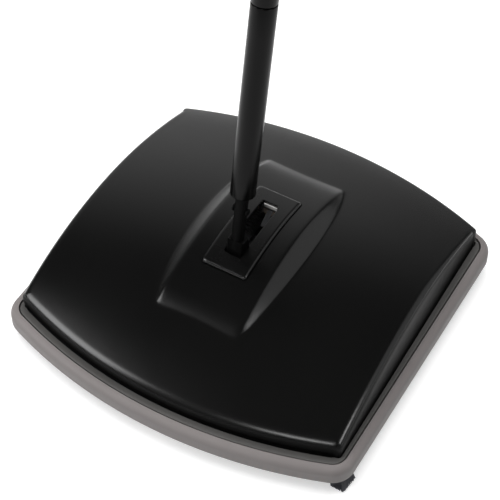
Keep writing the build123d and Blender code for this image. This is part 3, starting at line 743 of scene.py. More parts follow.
class Finish(Enum):
    """Every finish on the sweeper."""

    COVER = GlossFinish("cover_black_gloss", BLACK, SECOND_BLACK, (0.24, 0.25))
    WALL = GlossFinish("wall_black_satin", BLACK, SECOND_BLACK, (0.5, 0.56), specular=0.12)
    RIM = MouldedFinish(
        "rim_matt_grey", (0.06, 0.058, 0.056), (0.073, 0.071, 0.068), (0.55, 0.66), bump_depth=0.00003
    )
    PLATE = GlossFinish("plate_black_gloss", BLACK, SECOND_BLACK, (0.26, 0.28))
    TUBE = GlossFinish("tube_black_enamel", BLACK, (0.0024, 0.0024, 0.0024), (0.2, 0.24), specular=0.11)
    BUMPER = MouldedFinish(
        "bumper_taupe_rubber", (0.158, 0.143, 0.14), (0.178, 0.162, 0.159), (0.52, 0.64), bump_depth=0.00004
    )
    KNUCKLE = MouldedFinish(
        "knuckle_black_satin", BLACK, (0.0028, 0.0028, 0.0028), (0.36, 0.44), specular=0.05
    )
    FRAME = MouldedFinish("frame_black_satin", (0.012, 0.012, 0.012), (0.02, 0.02, 0.02), (0.42, 0.58))
    PAN = MouldedFinish("pan_charcoal", (0.014, 0.014, 0.015), (0.024, 0.024, 0.025), (0.36, 0.55))
    HUB = MouldedFinish("hub_grey", (0.06, 0.06, 0.062), (0.085, 0.085, 0.087), (0.4, 0.55))
    TYRE = MouldedFinish(
        "tyre_rubber", (0.011, 0.011, 0.011), (0.022, 0.021, 0.02), (0.6, 0.8), bump_depth=0.00008
    )
    DRUM = MouldedFinish(
        "drum_rubber", (0.016, 0.015, 0.015), (0.028, 0.027, 0.026), (0.6, 0.78), bump_depth=0.00006
    )
    GRIP = MouldedFinish(
        "grip_soft_rubber", (0.009, 0.009, 0.009), (0.016, 0.016, 0.016), (0.6, 0.76), bump_depth=0.00006
    )
    BUSH = MouldedFinish("bush_cream", (0.5, 0.46, 0.38), (0.58, 0.54, 0.46), (0.35, 0.5))
    HOLDER = MouldedFinish("holder_black", (0.01, 0.01, 0.011), (0.018, 0.018, 0.019), (0.4, 0.56))
    STEEL = MetalFinish("plated_steel", (0.56, 0.56, 0.57), (0.45, 0.45, 0.46), (0.22, 0.38))
    SPRING = MetalFinish("spring_zinc", (0.5, 0.49, 0.47), (0.4, 0.39, 0.38), (0.34, 0.46))
    # painted shade: the detent spring's lower part is painted dark, where the slot shades it
    LIP = PaintedShadeFinish("spring_lip_painted_shade", (0.03, 0.03, 0.032), (0.72, 0.71, 0.69), (0.4, 0.5))
    CORE = WoodFinish("core_turned_wood", (0.38, 0.25, 0.14), (0.55, 0.4, 0.25), (0.5, 0.72))
    BRISTLE = StrandFinish("brush_strand", (0.018, 0.018, 0.02), (0.05, 0.05, 0.055), (0.35, 0.5))
    EDGER = StrandFinish("edger_strand", (0.014, 0.0145, 0.02), (0.036, 0.037, 0.048), (0.4, 0.55))


class Paint:
    """Builds each finish's material once and puts it on pieces."""

    @staticmethod
    @cache
    def material(finish: Finish) -> Material:
        """Material of a finish, built the first time it is asked for."""
        return finish.value.material()

    @classmethod
    def on(cls, piece: Object, finish: Finish) -> None:
        """Give a piece one finish all over.

        Args:
            piece: New piece or CAD node's object.
            finish: The finish.
        """
        if piece.material_slots:
            for slot in piece.material_slots:
                slot.material = cls.material(finish)
        else:
            piece.data.materials.append(cls.material(finish))

    @classmethod
    def nodes(cls, finish: Finish, *names: str) -> None:
        """Give CAD nodes that keep their solids a finish."""
        for name in names:
            cls.on(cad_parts[name], finish)

    @classmethod
    def band(cls, piece: Object, finish: Finish, chosen: NDArray[np.bool_]) -> None:
        """Give some faces of a piece a further finish.

        Args:
            piece: New piece that has its first finish.
            finish: The further finish.
            chosen: For each face, whether it takes the further finish.
        """
        slots = np.zeros(len(chosen), dtype=np.int32)
        piece.data.polygons.foreach_get("material_index", slots)
        slots[chosen] = len(piece.data.materials)
        piece.data.materials.append(cls.material(finish))
        piece.data.polygons.foreach_set("material_index", slots)


def seat(piece: Object, body: str, finish: Finish, slot: str, *nodes: str) -> Object:
    """Finish a new piece: its material, its body and what it stands for.

    Args:
        piece: The new piece.
        body: Body that it moves with.
        finish: Its finish.
        slot: Not used.
        nodes: CAD nodes that it replaces.

    Returns:
        The piece.
    """
    Paint.on(piece, finish)
    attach(piece, body)
    if nodes:
        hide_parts(*nodes)
    LOG.info("piece %s on body %s", piece.name, body)
    return piece


@dataclass(frozen=True)
class BodyPlan:
    """Plan of the body: straight sides, bowed ends and round corners."""

    half_width: float = 0.149
    half_depth: float = 0.1538
    bow_radius: float = 0.394
    corner_radius: float = 0.019
    bow_steps: int = 56
    corner_steps: int = 24
    side_steps: int = 44

    def _quarter(self) -> tuple[Array, Array]:
        """Front right quarter, from the middle of the end to the middle of the side.

        The bow turns about a centre behind the body, the corner's circle touches the bow
        and the side, and the side runs straight to its middle.

        Returns:
            Points and outward normals, both by X and Y.
        """
        bow_centre = self.bow_radius - self.half_depth
        corner_x = self.half_width - self.corner_radius
        bow_turn = math.asin(corner_x / (self.bow_radius - self.corner_radius))
        corner_y = bow_centre - (self.bow_radius - self.corner_radius) * math.cos(bow_turn)
        turn = np.concatenate([
            np.linspace(0, bow_turn, self.bow_steps, endpoint=False),
            np.linspace(bow_turn, math.pi / 2, self.corner_steps, endpoint=False),
        ])
        normals = np.stack([np.sin(turn), -np.cos(turn)], axis=1)
        bow = [0.0, bow_centre] + self.bow_radius * normals[: self.bow_steps]
        corner = [corner_x, corner_y] + self.corner_radius * normals[self.bow_steps:]
        side_y = np.linspace(corner_y, 0.0, self.side_steps + 1)
        side = np.stack([np.full_like(side_y, self.half_width), side_y], axis=1)
        side_normals = np.broadcast_to([1.0, 0.0], side.shape)
        return np.concatenate([bow, corner, side]), np.concatenate([normals, side_normals])

    def _all_round(self, quarter: Array) -> Array:
        """Mirror a quarter into the whole ring.

        Args:
            quarter: Values by X and Y along the quarter, both ends included.

        Returns:
            The ring, with no value twice.
        """
        right_rear = (quarter * [1, -1])[::-1]
        left_front = (quarter * [-1, 1])[::-1]
        return np.concatenate([quarter[:-1], right_rear[:-1], -quarter[:-1], left_front[:-1]])

    def outline(self, inset: Array | float) -> Array:
        """The plan drawn in along its own normals.

        Args:
            inset: One inset, one for each point of the ring, or a column with one for each ring.

        Returns:
            Ring or rings of points by X and Y, counter-clockwise from the front's middle.
        """
        points, normals = (self._all_round(part) for part in self._quarter())
        return points - np.asarray(inset)[..., None] * normals


@dataclass(frozen=True)
class RoundedSlot:
    """A rectangle with round corners, seen from its own middle."""

    half_width: float
    front: float
    rear: float
    corner: float

    @property
    def middle(self) -> Array:
        """Its middle, by X and Y."""
        return np.array([0.0, (self.front + self.rear) / 2])

    def ring(self, directions: Array) -> Array:
        """Where rays from the middle leave the rectangle.

        A ray leaves through a side, an end or a corner's circle, whichever it meets.

        Args:
            directions: Unit vectors by X and Y.

        Returns:
            Ring of points by X and Y.
        """
        half = np.array([self.half_width, (self.rear - self.front) / 2])
        steep = np.abs(directions) + NEAR_ZERO
        to_side = half[0] / steep[:, 0]
        to_end = half[1] / steep[:, 1]
        core = half - self.corner
        towards = steep @ core
        into_corner = np.maximum(towards ** 2 - core @ core + self.corner ** 2, 0.0)
        to_corner = towards + np.sqrt(into_corner)
        on_side = to_side * steep[:, 1] <= core[1]
        on_end = to_end * steep[:, 0] <= core[0]
        distance = np.where(on_side, to_side, np.where(on_end, to_end, to_corner))
        return self.middle + distance[:, None] * directions

    def grown(self, margin: float) -> "RoundedSlot":
        """The same rectangle, larger all round by a margin."""
        return RoundedSlot(self.half_width + margin, self.front - margin, self.rear + margin, self.corner)


@dataclass(frozen=True)
class Dome:
    """Upper surface of the cover: a crown curved both ways, and the arched hump on it."""

    crown_height: float = 0.0809
    crown_radius_along: float = 0.291
    crown_radius_across: float = 0.893
    front_fall: float = 0.0012
    front_fall_from: float = 0.09
    front_fall_run: float = 0.045
    rear_lift: float = 0.0044
    rear_lift_from: float = 0.06
    rear_lift_run: float = 0.085
    hump_height: float = 0.089
    hump_radius: float = 0.2
    hump_half_width: float = 0.034
    flank_run: float = 0.020
    flank_fall: float = 0.015
    edge_softness: float = 0.0013
    flank_blend: float = 0.0004
    end_blend: float = 0.0005
    end_from: float = 0.07
    end_to: float = 0.084
    end_roll: float = 0.002
    front_roll_run: float = 0.014
    rear_roll_run: float = 0.032

    def arch(self, y: Array, lift: float = 0.0) -> Array:
        """Height of the hump's arch, or of an arch above it by a lift: a circle along Y."""
        centre = self.hump_height - self.hump_radius
        return centre + np.sqrt((self.hump_radius + lift) ** 2 - y ** 2)

    def crown(self, x: Array, y: Array) -> Array:
        """Height of the crown: an arc across X, swung along Y about a level axis.

        Past a line near each end the square of the way lowers the front and lifts the rear.

        Args:
            x: Places across.
            y: Places along.

        Returns:
            Heights.
        """
        axis = self.crown_height - self.crown_radius_along
        centre = self.crown_height - self.crown_radius_across
        across = centre + np.sqrt(self.crown_radius_across ** 2 - x ** 2)
        fall = np.maximum(-y - self.front_fall_from, 0.0) / self.front_fall_run
        lift = np.maximum(y - self.rear_lift_from, 0.0) / self.rear_lift_run
        swing = axis + np.sqrt((across - axis) ** 2 - y ** 2)
        return swing - self.front_fall * fall ** 2 + self.rear_lift * lift ** 2

    def hump(self, x: Array, y: Array) -> Array:
        """Height of the hump: its arch, lowered down the flanks past its soft edges.

        Towards each end a drop that grows with the square of the way rolls the arch over.

        Args:
            x: Places across.
            y: Places along.

        Returns:
            Heights.
        """
        past = smooth_larger(np.abs(x) - self.hump_half_width, 0.0, self.edge_softness)
        radius = self.hump_radius - self.flank_fall / self.flank_run * past
        reach = np.maximum(radius ** 2 - y ** 2, 0.0) * (radius > 0)
        run = np.where(y < 0, self.front_roll_run, self.rear_roll_run)
        rolled = np.maximum(np.abs(y) - self.end_to + run, 0.0) / run
        return self.hump_height - self.hump_radius + np.sqrt(reach) - self.end_roll * rolled ** 2

    def height(self, plan: Array) -> Array:
        """Height of the cover's upper surface: the larger of crown and hump, with a filled crease.

        Args:
            plan: Points by X and Y.

        Returns:
            Heights.
        """
        x, y = plan[..., 0], plan[..., 1]
        towards_end = smooth_step(self.end_from, self.end_to, np.abs(y))
        blend = self.flank_blend + (self.end_blend - self.flank_blend) * towards_end
        return smooth_larger(self.crown(x, y), self.hump(x, y), blend)


@dataclass
class CoverAssembly:
    """The glossy cover, the rubber bumper round it and the plate on its hump.

    An edge holds the inset of the crown's edge, its rounding, the inset of the wall's foot and
    the share of a quarter turn that the rounding makes.
    """

    plan: BodyPlan = field(default_factory=BodyPlan)
    dome: Dome = field(default_factory=Dome)
    slot: RoundedSlot = field(default_factory=lambda: RoundedSlot(0.0074, -0.0315, 0.027, 0.0015))
    plate: RoundedSlot = field(default_factory=lambda: RoundedSlot(0.019, -0.045, 0.042, 0.0025))
    cover_wall: float = 0.0024
    gutter_width: float = 0.0012
    satin_steepness: float = 0.56
    lining_draft: float = 0.0008
    cover_bottom: float = 0.0278
    ledge_height: float = 0.0304
    gutter_height: float = 0.0292
    rim_inset: float = 0.0076
    ledge_inset: float = 0.013
    front_edge: tuple[float, ...] = (0.0118, 0.0066, 0.0152, 0.58)
    rear_edge: tuple[float, ...] = (0.0105, 0.0016, 0.0105, 1.0)
    side_front_edge: tuple[float, ...] = (0.0098, 0.0078, 0.0115, 1.0)
    side_rear_edge: tuple[float, ...] = (0.0144, 0.0034, 0.0142, 1.0)
    corner_blend: tuple[float, float] = (0.2, 0.94)
    rim_round: float = 0.0008
    slot_relief: float = 0.001
    plate_fit: float = 0.0005
    plate_seat: float = 0.001
    plate_proud: float = 0.0028
    plate_round: float = 0.0026
    slot_round: float = 0.0004
    bumper_bottom: float = 0.016
    bumper_top: float = 0.031
    bumper_thickness: float = 0.0066
    bumper_shoulder: float = 0.006
    bumper_under: float = 0.0015
    seat_rows: int = 5
    field_rows: int = 126
    field_crowding: float = 1.4
    edge_rows: int = 9
    edge_reach: float = 0.97
    wall_rows: int = 5
    wall_start: float = 0.03
    shelf_rows: int = 4
    round_rows: int = 5
    lining_rows: int = 10
    plate_rows: int = 22
    plate_under_rows: int = 6
    shoulder_rows: int = 11
    face_rows: int = 6

    def _directions(self) -> Array:
        """Unit vectors from the slot's middle to each point of the ledge's inner edge."""
        rays = self.plan.outline(self.ledge_inset) - self.slot.middle
        return rays / np.linalg.norm(rays, axis=1, keepdims=True)

    def _edge(self) -> Array:
        """The crown's edge: broad and soft along the front, crisp along the rear.

        The sides lead from the front's values to the rear's, and the corners blend into them.

        Returns:
            Rows with the four values of an edge at each point of the ring.
        """
        ring = self.plan.outline(0.0)
        facing = self.plan.outline(-1.0)[:, 1] - ring[:, 1]
        front, rear = (smooth_step(*self.corner_blend, way) for way in (-facing, facing))
        along = smooth_step(-self.plan.half_depth, self.plan.half_depth, ring[:, 1])[:, None]
        side = (1 - along) * np.array(self.side_front_edge) + along * np.array(self.side_rear_edge)
        ends = front[:, None] * np.array(self.front_edge) + rear[:, None] * np.array(self.rear_edge)
        return ((1 - front - rear)[:, None] * side + ends).T

    def _top_rings(self, hole: Array) -> Array:
        """The plate's seat, then the hump and the crown out to where the edge turns down.

        Args:
            hole: Ring round the slot.

        Returns:
            Rings of points.
        """
        inset, rounding = self._edge()[:2]
        rest = self.plate.grown(self.plate_fit).ring(self._directions())
        floor_plan = between(hole, rest, even_shares(self.seat_rows))
        seat_floor = with_height(floor_plan, self.dome.arch(floor_plan[..., 1], -self.plate_seat))
        turn_in = self.plan.outline(inset + rounding)
        field_plan = between(rest, turn_in, even_shares(self.field_rows) ** self.field_crowding)
        return np.concatenate([seat_floor, with_height(field_plan, self.dome.height(field_plan))])

    def _wall_rings(self, start: Array) -> Array:
        """The crown's edge, bent down by its share of a turn, and the wall from there to its foot.

        Args:
            start: Ring of the crown where the edge turns down.

        Returns:
            Rings of points.
        """
        inset, rounding, foot_inset, turn = self._edge()
        edge_plan = self.plan.outline(inset)
        corner = with_height(edge_plan, self.dome.height(edge_plan))
        below = with_height(edge_plan, corner[:, 2] - rounding)
        shorter = start + turn[:, None] * (corner - start)
        last = shorter + turn[:, None] * (corner + turn[:, None] * (below - corner) - shorter)
        foot = with_height(self.plan.outline(foot_inset), self.gutter_height)
        edge_shares = np.append(np.linspace(0, self.edge_reach, self.edge_rows)[1:], 1.0)
        wall_shares = np.linspace(self.wall_start, 1, self.wall_rows)
        return np.concatenate([bend(start, shorter, last, edge_shares), between(last, foot, wall_shares)])

    def _rim_rings(self) -> Array:
        """The gutter's outer side, the flat ledge and the rounded rim behind the bumper.

        Returns:
            Rings of points.
        """
        foot_inset = self._edge()[2]
        lip = self.plan.outline(np.minimum(self.ledge_inset, foot_inset - self.gutter_width))
        rim = self.plan.outline(self.rim_inset)
        ledge_end = with_height(self.plan.outline(self.rim_inset + self.rim_round), self.ledge_height)
        rim_corner = with_height(rim, self.ledge_height)
        rim_side = with_height(rim, self.ledge_height - self.rim_round)
        ledge = np.stack([with_height(lip, self.gutter_height), with_height(lip, self.ledge_height)])
        shelf = between(ledge[-1], ledge_end, even_shares(self.shelf_rows)[1:])
        rim_bend = bend(ledge_end, rim_corner, rim_side, even_shares(self.round_rows)[1:])
        return np.concatenate([ledge, shelf, rim_bend])

    def _inside_rings(self, hole: Array) -> Array:
        """The underside of the rim, the wall's inside and the lining back to the slot.

        Args:
            hole: Ring round the slot.

        Returns:
            Rings of points.
        """
        foot_inset = self._edge()[2]
        under = [self.plan.outline(inset) for inset in (self.rim_inset, foot_inset + self.cover_wall)]
        inner_top = self.plan.outline(foot_inset + self.cover_wall + self.lining_draft)
        lining_plan = between(inner_top, hole, even_shares(self.lining_rows))
        lining = with_height(lining_plan, self.dome.height(lining_plan) - self.cover_wall)
        return np.concatenate([with_height(np.stack(under), self.cover_bottom), lining])

    def cover(self) -> None:
        """The cover: rings from the slot out over the plate's seat, the hump and the crown,
        down the wall, across the gutter and the ledge, and back along the inside."""
        hole = self.slot.grown(self.slot_relief).ring(self._directions())
        top = self._top_rings(hole)
        wall, rim = self._wall_rings(top[-1]), self._rim_rings()
        rings = np.concatenate([top, wall, rim, self._inside_rings(hole)])
        piece = seat(ring_surface("cover_shell", rings), "base", Finish.COVER, "cover", "top_cover")

        row = np.repeat(np.arange(len(rings)), rings.shape[1])
        rim_start = len(top) + len(wall)
        Paint.band(piece, Finish.RIM, (row >= rim_start) & (row < rim_start + len(rim)))
        normals = np.empty(3 * len(row), dtype=np.float32)
        piece.data.polygons.foreach_get("normal", normals)
        steep = normals[2::3] < self.satin_steepness
        Paint.band(piece, Finish.WALL, steep & (row >= len(top) - 1) & (row < rim_start))

    def bumper(self) -> None:
        """The bumper: its section, with a full shoulder, carried round the plan."""
        shoulder, under, thickness = self.bumper_shoulder, self.bumper_under, self.bumper_thickness
        top, bottom = self.bumper_top, self.bumper_bottom
        face = inner_steps(top - shoulder, bottom + under, self.face_rows)
        section = np.concatenate([
            quarter_turn(shoulder, top - shoulder, shoulder, 180.0, self.shoulder_rows)[::-1],
            np.stack([np.zeros_like(face), face], axis=1),
            quarter_turn(under, bottom + under, under, 270.0)[::-1],
            np.array([[thickness, bottom], [thickness, top]]),
        ])
        rings = with_height(self.plan.outline(section[:, :1]), section[:, 1:])
        seat(ring_surface("bumper_ring", rings), "base", Finish.BUMPER, "bumper", "bumper")

    def slot_plate(self) -> None:
        """The plate: rings from the slot's foot up over the arched top and down its sides."""
        rays = self._directions()
        hole, outer = self.slot.ring(rays), self.plate.ring(rays)
        hole_out = self.slot.grown(self.slot_round).ring(rays)
        outer_in = self.plate.grown(-self.plate_round).ring(rays)

        def on_arch(plan: Array, lift: float) -> Array:
            """Points of a plan at a distance above the hump's arch."""
            return with_height(plan, self.dome.arch(plan[..., 1], lift))

        shares = even_shares(self.round_rows)
        low, high = -self.plate_seat, self.plate_proud
        slot_edge = bend(
            on_arch(hole, high - self.slot_round), on_arch(hole, high), on_arch(hole_out, high), shares
        )
        top = on_arch(between(hole_out, outer_in, even_shares(self.plate_rows)[1:]), high)
        side_edge = bend(
            on_arch(outer_in, high), on_arch(outer, high), on_arch(outer, high - self.plate_round), shares
        )
        under = on_arch(between(outer, hole, even_shares(self.plate_under_rows)), low)
        rings = np.concatenate([slot_edge, top, side_edge[1:], under])
        seat(ring_surface("slot_plate", rings), "base", Finish.PLATE, "plate", "handle_plate")

    def build(self) -> None:
        """Build and dress the cover's pieces."""
        self.cover()
        self.bumper()
        self.slot_plate()


@dataclass
class HandleAssembly:
    """The handle above its knuckle: three enamelled tubes and a ribbed grip."""

    lean: float = math.radians(10.4)
    pivot: Point = (0.0, -0.0288, 0.070)
    tube_radius: float = 0.0095
    tube_bore: float = 0.0085
    tube_ends: tuple[float, float, float, float] = (0.073, 0.236, 0.56, 1.0)
    tube_rows: int = 8
    end_round: float = 0.0008
    seam: float = 0.0004
    grip_start: float = 0.868
    grip_radius: float = 0.0126
    grip_bore: float = 0.00955
    grip_round: float = 0.0025
    rib_count: int = 24
    rib_rows: int = 12
    rib_depth: float = 0.0007
    ribs_rise: tuple[float, float] = (0.06, 0.1)
    ribs_fade: tuple[float, float] = (0.9, 0.94)
    columns: int = 96

    def _turned(self, name: str, profile: Array) -> Object:
        """Turn a profile about the handle's axis.

        Args:
            name: Name of the piece.
            profile: Points by height on the handle and radius.

        Returns:
            The piece.
        """
        axis = np.array([0.0, math.sin(self.lean), math.cos(self.lean)])
        return ring_surface(name, lathe_rings(profile, np.array(self.pivot), axis, X_AXIS, self.columns))

    def tube(self, label: str, start: float, end: float) -> None:
        """One tube: a straight wall with rounded ends, open through its bore.

        Args:
            label: Last word of the node's name.
            start: Height of its lower end on the handle.
            end: Height of its upper end.
        """
        low, high, soft = start + self.seam / 2, end - self.seam / 2, self.end_round
        along = inner_steps(low + soft, high - soft, self.tube_rows)
        profile = sleeve_profile((low, high), self.tube_radius, self.tube_bore, soft, along)
        piece = self._turned(f"tube_{label}", profile)
        seat(piece, "handle", Finish.TUBE, "tube", f"handle_tube_{label}")

    def grip(self) -> None:
        """The grip: a sleeve whose radius dips in a row of ribs between smooth ends.

        The dip is half of one less a cosine along the grip.
        """
        low, high, soft = self.grip_start, self.tube_ends[-1], self.grip_round
        along = inner_steps(low + soft, high - soft, self.rib_count * self.rib_rows)
        share = (along - low) / (high - low)
        ribs = 0.5 - 0.5 * np.cos(FULL_TURN * self.rib_count * share)
        band = smooth_step(*self.ribs_rise, share) * (1 - smooth_step(*self.ribs_fade, share))
        dip = self.rib_depth * band * ribs
        profile = sleeve_profile((low, high), self.grip_radius, self.grip_bore, soft, along, dip)
        seat(self._turned("grip_sleeve", profile), "handle", Finish.GRIP, "grip", "handle_grip")

    def build(self) -> None:
        """Build and dress the handle's pieces."""
        for label, start, end in zip(("lower", "middle", "upper"), self.tube_ends, self.tube_ends[1:]):
            self.tube(label, start, end)
        self.grip()
        Paint.nodes(Finish.KNUCKLE, "handle_knuckle", "neck_rivet", "hang_cap")


@dataclass
class BrushRoll:
    """The brush: a wooden core under twisted rows of tufts."""

    axis_height: float = 0.031
    half_length: float = 0.1045
    core_radius: float = 0.011
    core_bore: float = 0.00305
    core_round: float = 0.0008
    tip_radius: float = 0.0304
    tip_scatter: float = 0.0012
    rows: int = 4
    tufts: int = 75
    twist: float = math.radians(100)
    strands: int = 9
    strand_width: float = 0.00042
    taper: tuple[float, ...] = (1.0, 1.0, 0.95, 0.8)
    tuft_margin: float = 0.002
    strand_margin: float = 0.0005
    tuft_spread: float = 0.0011
    splay: float = 0.0019
    splay_power: float = 1.4
    root_depth: float = 0.0015
    columns: int = 72
    seed: int = 3

    def core(self) -> None:
        """The core: a turned sleeve on the shaft, with softened ends."""
        half = self.half_length
        straight = np.empty(0)
        profile = sleeve_profile((-half, half), self.core_radius, self.core_bore, self.core_round, straight)
        centre = np.array([0.0, 0.0, self.axis_height])
        rings = lathe_rings(profile, centre, X_AXIS, Y_AXIS, self.columns)
        seat(ring_surface("brush_core_wood", rings), "brush", Finish.CORE, "core", "brush_core")

    def bristles(self) -> None:
        """The bristles: every tuft is a small sheaf of strands that opens towards its tips.

        A tuft's root lies on a helix round the core, its strands sit on a seeded disc there
        and lean out by the same disc made wider, with tips at about one radius.
        """
        rng = np.random.default_rng(self.seed)
        row, tuft, _ = np.meshgrid(
            np.arange(self.rows), np.arange(self.tufts), np.arange(self.strands), indexing="ij"
        )
        share = tuft.ravel() / (self.tufts - 1)
        turn = row.ravel() * FULL_TURN / self.rows + self.twist * share
        first = -self.half_length + self.tuft_margin
        place = first + share * 2 * -first
        disc_turn = rng.uniform(0, FULL_TURN, share.size)
        disc = np.sqrt(rng.uniform(0, 1, share.size))
        along, around = disc * np.cos(disc_turn), disc * np.sin(disc_turn)
        reach = even_shares(len(self.taper))
        narrow = self.tuft_spread / 2
        opening = (narrow + (self.splay - narrow) * reach ** self.splay_power)[None]
        furthest = self.half_length - self.strand_margin
        x = np.clip(place[:, None] + along[:, None] * opening, -furthest, furthest)
        sideways = around[:, None] * opening
        root = self.core_radius - self.root_depth
        tip = self.tip_radius - rng.uniform(0.0, self.tip_scatter, share.size)
        radius = root + (tip[:, None] - root) * reach
        radius = np.sqrt(np.maximum(radius ** 2 - sideways ** 2, 0.0))
        y = radius * np.cos(turn)[:, None] - sideways * np.sin(turn)[:, None]
        z = self.axis_height + radius * np.sin(turn)[:, None] + sideways * np.cos(turn)[:, None]
        paths = np.stack([x, y, z], axis=-1)
        piece = strand_bundle("brush_strands", paths, self.strand_width * np.array(self.taper))
        seat(piece, "brush", Finish.BRISTLE, "bristle", "brush_bristles")

    def build(self) -> None:
        """Build and dress the brush's pieces."""
        self.core()
        self.bristles()
        Paint.nodes(Finish.STEEL, "brush_shaft")
        for side in Side:
            Paint.nodes(Finish.DRUM, f"drum_{side.label}")
            Paint.nodes(Finish.BUSH, f"brush_bearing_{side.label}")


@dataclass
class Edger:
    """One corner's edging tuft: a block of strands that fan out past the bumper."""

    corner: Corner
    root: Point = (0.130, 0.103, 0.013)
    block: tuple[float, float] = (0.013, 0.015)
    block_height: float = 0.002
    block_top: float = 0.014
    block_round: float = 0.0003
    block_columns: int = 48
    block_power: float = 0.25
    front_splay: tuple[float, float] = (0.0116, 0.0108)
    rear_splay: tuple[float, float] = (0.006, 0.0065)
    left_ease: float = 0.0035
    root_spread: tuple[float, float] = (0.0085, 0.0102)
    root_jitter: float = 0.018
    root_slope: float = 0.55
    tip_spread: tuple[float, float] = (0.0107, 0.0148)
    tip_slant: float = 0.12
    tip_scatter: float = 0.0003
    floor_gap: float = 0.0006
    across: int = 17
    along: int = 20
    strand_width: float = 0.00062
    taper: tuple[float, ...] = (1.0, 1.0, 1.0, 0.95, 0.85)
    seed: int = 11

    def strands(self) -> None:
        """The strands: a jittered grid of roots, each bent outwards to a flat cut above the floor.

        The way from root to tip is a parabola, steeper at the root than at the tip.
        """
        rng = np.random.default_rng(self.seed)
        sign = np.array(self.corner.value, dtype=float)
        steps = (even_shares(count) - 0.5 for count in (self.across, self.along))
        grid = np.stack(np.meshgrid(*steps, indexing="ij"), axis=-1).reshape(-1, 2)
        grid += rng.uniform(-self.root_jitter, self.root_jitter, grid.shape)
        middle = np.array(self.root[:2])
        root = middle + grid * np.array(self.root_spread)
        splay = np.array(self.front_splay if sign[1] < 0 else self.rear_splay)
        splay[0] -= self.left_ease * (sign[0] < 0)
        tip = middle + splay + grid * np.array(self.tip_spread)
        tip[:, 0] -= self.tip_slant * self.tip_spread[1] * grid[:, 1]
        tip += rng.uniform(-self.tip_scatter, self.tip_scatter, tip.shape)
        share = even_shares(len(self.taper))[None, :, None]
        outward = self.root_slope * share + (1 - self.root_slope) * share ** 2
        plan = (root[:, None] + (tip - root)[:, None] * outward) * sign
        height = self.root[2] + (self.floor_gap - self.root[2]) * share[..., 0]
        widths = self.strand_width * np.array(self.taper)
        piece = strand_bundle(f"edger_strands_{self.corner.label}", with_height(plan, height), widths)
        seat(piece, "base", Finish.EDGER, "edger", f"edger_tuft_{self.corner.label}")

    def backing(self) -> None:
        """The block that the strands are set in: a low slab with softened edges.

        Its plan is a superellipse, a circle whose coordinates are raised to a small power.
        """
        turn = full_turn(self.block_columns)
        circle = np.stack([np.cos(turn), np.sin(turn)], axis=1)
        square = np.sign(circle) * np.abs(circle) ** self.block_power
        low, high, soft = self.block_top - self.block_height, self.block_top, self.block_round
        heights = np.array([low, low + soft, high - soft, high])
        sizes = np.array(self.block) / 2 - np.array([soft, 0.0, 0.0, soft])[:, None]
        plan = np.array(self.root[:2]) + sizes[:, None] * square
        rings = with_height(plan * np.array(self.corner.value), heights[:, None])
        piece = ring_surface(f"edger_block_{self.corner.label}", rings, capped=True)
        seat(piece, "base", Finish.HOLDER, "edger")

    def build(self) -> None:
        """Build and dress the tuft."""
        self.strands()
        self.backing()
        Paint.nodes(Finish.HOLDER, f"edger_holder_{self.corner.label}")


@dataclass
class Wheel:
    """One corner's wheel: a ribbed tyre on a moulded hub."""

    corner: Corner
    inner_face: float = 0.1115
    width: float = 0.014
    centre_y: float = 0.0386716
    radius: float = 0.024
    tyre_bore: float = 0.02045
    edge_round: float = 0.0012
    tread_depth: float = 0.0004
    tread_rows: int = 7
    tread_margin: float = 1e-9
    groove_slope: tuple[float, float] = (0.2, 0.7)
    treads: int = 36
    tread_columns: int = 8

    def tyre(self) -> None:
        """The tyre: a rounded section turned about the axle, with shallow grooves across it.

        The radius dips where a cosine round the tyre is low, away from its two edges.
        """
        sign_x, sign_y = self.corner.value
        soft = self.edge_round
        along = inner_steps(soft, self.width - soft, self.tread_rows)
        profile = sleeve_profile((0.0, self.width), self.radius, self.tyre_bore, soft, along)
        centre = np.array([sign_x * self.inner_face, sign_y * self.centre_y, self.radius])
        axis = sign_x * X_AXIS
        columns = self.treads * self.tread_columns
        rings = lathe_rings(profile, centre, axis, Y_AXIS, columns)
        groove = smooth_step(*self.groove_slope, -np.cos(self.treads * full_turn(columns)))
        depth = self.tread_depth * (np.abs(profile[:, 1] - self.radius) < self.tread_margin)
        spoke = rings - (centre + profile[:, None, :1] * axis)
        spoke /= np.linalg.norm(spoke, axis=-1, keepdims=True)
        rings = rings - depth[:, None, None] * groove[None, :, None] * spoke
        piece = ring_surface(f"tyre_tread_{self.corner.label}", rings)
        body = f"{self.corner.label}_wheel"
        seat(piece, body, Finish.TYRE, "tyre", f"tyre_{self.corner.label}")

    def build(self) -> None:
        """Build and dress the wheel."""
        self.tyre()
        Paint.nodes(Finish.HUB, f"wheel_{self.corner.label}")


class Underside:
    """The frame, the dust pans and the hardware, which keep their solids."""

    FIXINGS = ("pivot_bracket", "handle_pivot_pin", "bracket_screws", "cover_screws", "wheel_axles")

    def build(self) -> None:
        """Dress the solids."""
        Paint.nodes(Finish.FRAME, "base_frame")
        Paint.nodes(Finish.STEEL, *self.FIXINGS)
        Paint.nodes(Finish.LIP, "detent_spring")
        for end in End:
            Paint.nodes(Finish.STEEL, f"{end.label}_pan_rod")
            Paint.nodes(Finish.SPRING, f"{end.label}_pan_spring")
            Paint.nodes(Finish.PAN, f"{end.label}_pan", f"{end.label}_comb")


def aimed(at: Point, to: Point) -> Euler:
    """Turn of a lamp or camera at one point that faces another."""
    return (Vector(to) - Vector(at)).to_track_quat("-Z", "Y").to_euler()


